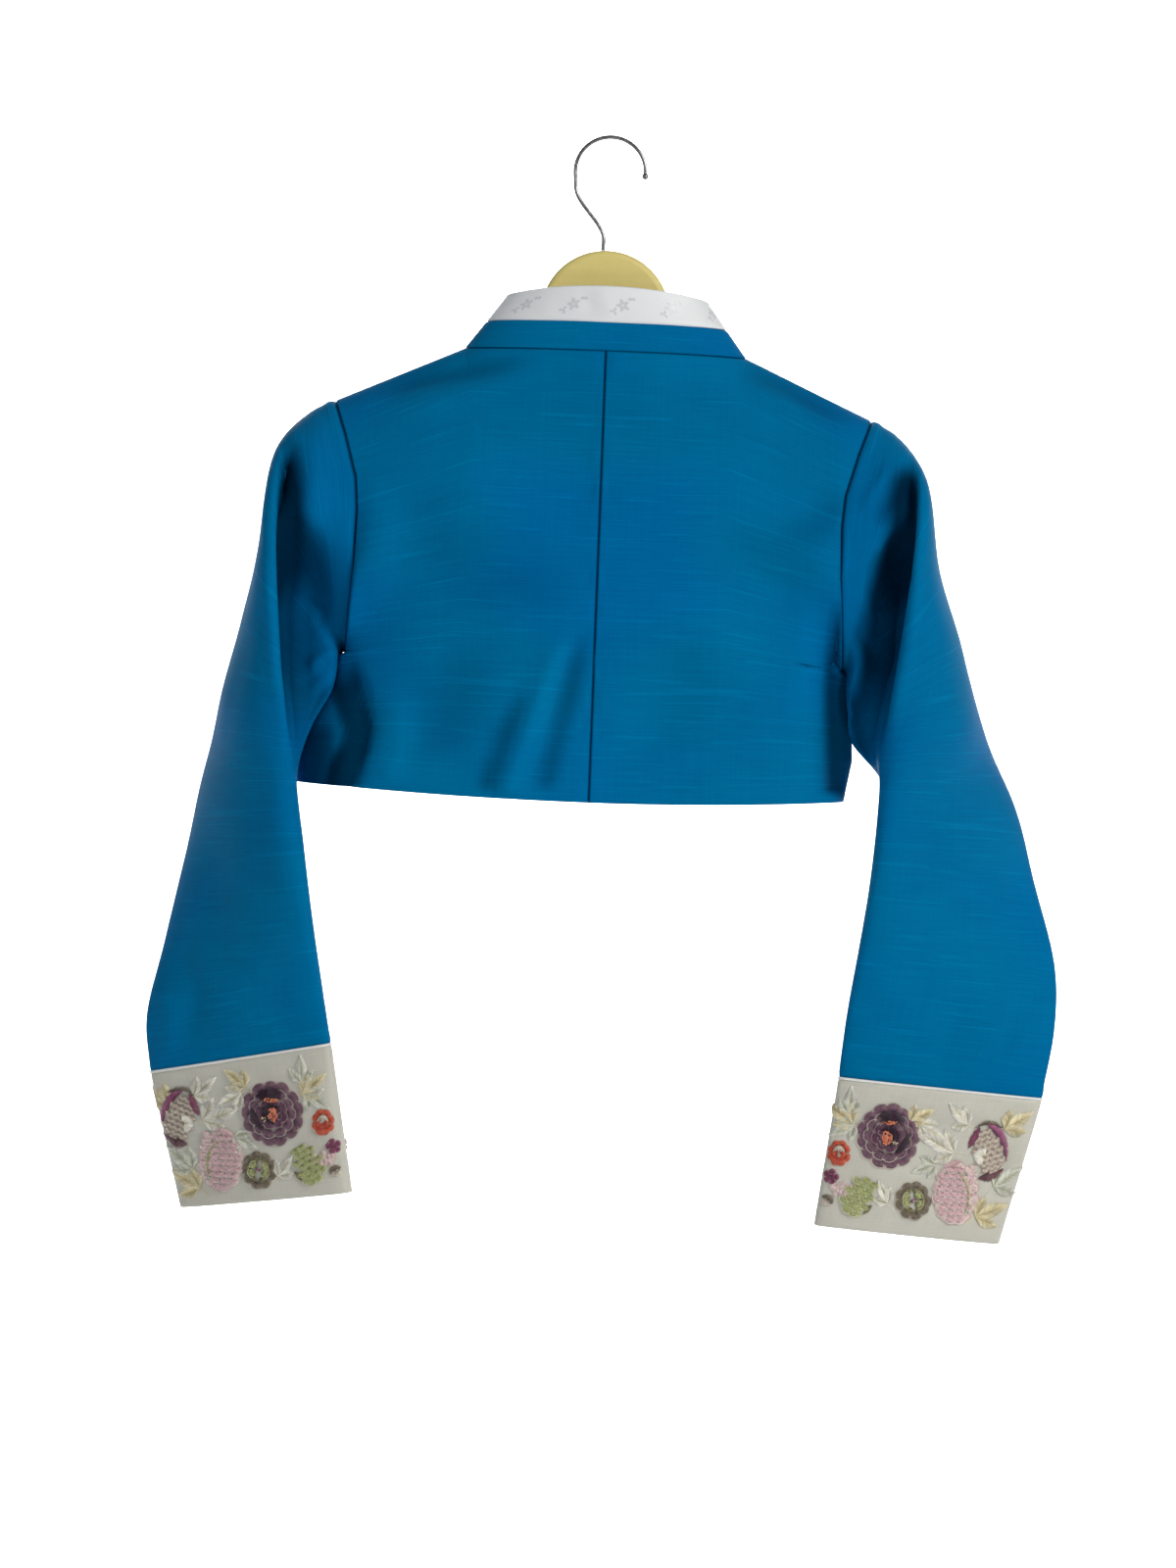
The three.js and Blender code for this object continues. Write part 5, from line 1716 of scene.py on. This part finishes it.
SPRIGS = [
    {"left": (160, 1120), "right": (1034, 1145), "facing": 145, "size": 17, "colours": ECRU},
    {"left": (207, 1112), "right": (979, 1140), "facing": 40, "size": 15, "colours": CREAM},
    {"left": (220, 1138), "right": (960, 1169), "facing": 25, "size": 19, "colours": CREAM},
    {"left": (244, 1102), "right": (936, 1138), "facing": 150, "size": 14, "colours": ECRU},
    {"left": (239, 1120), "right": (946, 1153), "facing": 215, "size": 15, "colours": CREAM},
    {"left": (310, 1092), "right": (866, 1125), "facing": 95, "size": 14, "colours": SAGE},
    {"left": (320, 1107), "right": (860, 1138), "facing": 38, "size": 16, "colours": ECRU},
    {"left": (324, 1118), "right": (862, 1150), "facing": -25, "size": 14, "colours": SAGE},
    {"left": (249, 1162), "right": (944, 1190), "facing": -20, "size": 13, "colours": SAGE},
    {"left": (186, 1186), "right": (1024, 1204), "facing": 150, "size": 18, "colours": SAGE},
    {"left": (192, 1208), "right": (1006, 1236), "facing": 160, "size": 18, "colours": ECRU},
    {"left": (291, 1190), "right": (900, 1218), "facing": 60, "size": 13, "colours": CREAM},
]


class CuffFace:
    """Finds places on a cuff's shown side by X and Z, and the same places on its hidden side."""

    def __init__(self, side):
        self.grid, self.normals = cuff_surface(side)
        self.sign = -signed(side)
        self.rows = np.arange(self.grid.shape[0], dtype=float)
        self.columns = np.arange(HALF_RING + 1, dtype=float)

    def find(self, x, z):
        row = self.rows[-1] / 2
        column = HALF_RING / 2
        for _ in range(4):
            low = int(min(row, self.rows[-1] - 1))
            across = mix(self.grid[low, :HALF_RING + 1, 0], self.grid[low + 1, :HALF_RING + 1, 0], row - low)
            column = np.interp(x * self.sign, across * self.sign, self.columns)
            left = int(min(column, HALF_RING - 1))
            down = mix(self.grid[:, left, 2], self.grid[:, left + 1, 2], column - left)
            row = np.interp(-z, -down, self.rows)
        return row, column

    def lift(self, rows, columns, heights):
        """Gives points at the given heights above the cloth."""
        low = np.minimum(rows.astype(int), len(self.rows) - 2)
        left = columns.astype(int)
        down = (rows - low)[:, None]
        across = (columns - left)[:, None]
        right = (left + 1) % self.grid.shape[1]
        left = left % self.grid.shape[1]

        def at(field):
            return mix(mix(field[low, left], field[low, right], across),
                       mix(field[low + 1, left], field[low + 1, right], across), down)

        return at(self.grid) + unit(at(self.normals)) * heights[:, None]


def drawn_stitches(side):
    pen = Stitches(SEEDS[side]["stitches"])
    mirror = -signed(side)
    for sprig in SPRIGS:
        pen.move(from_photo(*sprig[side]), mirror)
        pen.sprig(math.radians(sprig["facing"]), sprig["size"], sprig["colours"])
    for flower in FLOWERS:
        pen.move(from_photo(*flower[side]), mirror)
        flower["draw"](pen)
    return pen


def embroidery(side, tree, material):
    """The same design on the shown and the hidden side of one cuff."""
    pen = drawn_stitches(side)
    face = CuffFace(side)
    sizes = [len(path) for path in pen.places]
    found = np.array([face.find(x, z) for x, z in np.concatenate(pen.places)])
    rows, columns = found[:, 0], np.clip(found[:, 1], 1, HALF_RING - 1)
    heights = np.concatenate(pen.heights)
    cuts = np.cumsum(sizes)[:-1]
    shown = np.split(face.lift(rows, columns, heights), cuts)
    hidden = np.split(face.lift(rows, 2 * HALF_RING - columns, heights), cuts)
    return swept("embroidery_" + side, tree, shown + hidden, pen.widths * 2, STITCH_SIDES, material,
                 pen.colours * 2)


# The camera, floor and lights

CAMERA_FAR = 4.0
CAMERA_REACH = 30.0
SENSOR = 24.0
FLOOR = {"half": 7.0, "z": -1.15, "back": 5.6, "bend": 1.0, "top": 4.0, "steps": 12}
SKY = (0.95, 0.98, 1.0, 1)
SKY_STRENGTH = 0.26
JACKET_MIDDLE = (0.0, 0.0, -0.45)
LIGHTS = [
    {"name": "key", "place": (2.2, -2.3, 1.0), "target": JACKET_MIDDLE, "size": 1.2, "power": 72,
     "colour": (1.0, 0.985, 0.96)},
    {"name": "fill", "place": (-2.4, -2.2, 0.4), "target": JACKET_MIDDLE, "size": 2.2, "power": 12,
     "colour": (0.93, 0.97, 1.0)},
    {"name": "backdrop", "place": (0.0, 3.2, 2.6), "target": (0.0, 5.5, 0.13), "size": 2.0, "power": 520,
     "colour": (1.0, 1.0, 1.0)},
]


def add_camera():
    across, height = from_photo(PHOTO_SIZE[0] / 2, PHOTO_SIZE[1] / 2)
    lens = bpy.data.cameras.new("camera")
    lens.sensor_fit = "VERTICAL"
    lens.sensor_height = SENSOR
    lens.lens = SENSOR * CAMERA_FAR / (PHOTO_SIZE[1] * PHOTO_MM * MM)
    lens.clip_end = CAMERA_REACH
    camera = put_in_scene("camera", lens)
    turn = Matrix((
        (math.cos(PHOTO_LEAN), -math.sin(PHOTO_LEAN), 0),
        (0, 0, -1),
        (math.sin(PHOTO_LEAN), math.cos(PHOTO_LEAN), 0),
    ))
    camera.matrix_world = Matrix.Translation((across * MM, -CAMERA_FAR, height * MM)) @ turn.to_4x4()
    bpy.context.scene.camera = camera


def floor_profile():
    """Gives Y and Z along the floor and up the wall that it bends into."""
    bend, floor_z, steps = FLOOR["bend"], FLOOR["z"], FLOOR["steps"]
    start = FLOOR["back"] - bend
    profile = [(-FLOOR["half"], floor_z), (start, floor_z)]
    for k in range(1, steps + 1):
        turn = math.pi / 2 * k / steps
        profile.append((start + bend * math.sin(turn), floor_z + bend * (1 - math.cos(turn))))
    return profile + [(FLOOR["back"], FLOOR["top"])]


def add_floor():
    profile = floor_profile()
    points = [(x, y, z) for y, z in profile for x in (-FLOOR["half"], FLOOR["half"])]
    faces = [(2 * k, 2 * k + 1, 2 * k + 3, 2 * k + 2) for k in range(len(profile) - 1)]
    mesh = bpy.data.meshes.new("studio_floor")
    mesh.from_pydata(points, [], faces)
    mesh.shade_smooth()
    mesh.materials.append(studio_paper())
    put_in_scene("studio_floor", mesh)


def add_sky():
    world = bpy.data.worlds.new("studio")
    bpy.context.scene.world = world
    world.use_nodes = True
    sky = world.node_tree.nodes["Background"]
    sky.inputs["Color"].default_value = SKY
    sky.inputs["Strength"].default_value = SKY_STRENGTH
    bpy.context.scene.view_settings.view_transform = "Standard"


def add_light(name, place, target, size, power, colour):
    light = bpy.data.lights.new(name, "AREA")
    light.shape = "DISK"
    light.size = size
    light.energy = power
    light.color = colour
    lamp = put_in_scene(name, light)
    aim = (np.array(target) - np.array(place)).tolist()
    lamp.rotation_euler = Vector(aim).to_track_quat("-Z", "Y").to_euler()
    lamp.location = place


# Building it all.

COLLAR_COLUMNS = 14


def settle(piece, node, slot):
    """Puts a finished piece in place of its plain solid."""
    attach(piece, "root")
    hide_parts(node)


def settle_cloth(piece, node, slot, cut, **sewn_on):
    settle(piece, node, slot)


def build_hanger(tree):
    settle(hanger(hanger_paint()), "hanger_body", "hanger")
    settle(hook(tree, hook_steel()), "hanger_hook", "hook")


def build_collar(silk):
    parts = eased(COLLAR_COLUMNS, 0.85)
    band = collar_strip(parts, 1, False).build("collar_band_silk", silk, turn_uv=True)
    settle_cloth(band, "collar_band", "silk", "collar_band")
    parts = eased(COLLAR_COLUMNS, 0.7)
    strip = collar_strip(parts, COLLAR["white_reach"], True)
    white = strip.build("collar_white_satin", jacquard_satin(), turn_uv=True)
    settle_cloth(white, "collar_white", "collar", "collar_white")


def build_side(side, tree, silk, cream, trim, threads):
    for part, shape in (("back", back_panel), ("front", front_panel), ("sleeve", sleeve)):
        piece = shape(side).build(part + "_silk_" + side, silk)
        settle_cloth(piece, part + "_" + side, "silk", part)
    settle(piping(side, tree, trim), "cuff_piping_" + side, "collar")
    end = cuff(side).build("cuff_silk_" + side, cream)
    flowers = embroidery(side, tree, threads)
    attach(flowers, "root")
    settle_cloth(end, "cuff_" + side, "cuff", "cuff", with_pieces=[flowers])


def build():
    tree = sweep_tree()
    silk = slub_silk()
    build_hanger(tree)
    build_collar(silk)
    cream, trim, threads = cream_silk(), piping_satin(), silk_thread()
    for side in ("left", "right"):
        build_side(side, tree, silk, cream, trim, threads)


add_camera()
add_floor()
add_sky()
for row in LIGHTS:
    add_light(**row)
build()
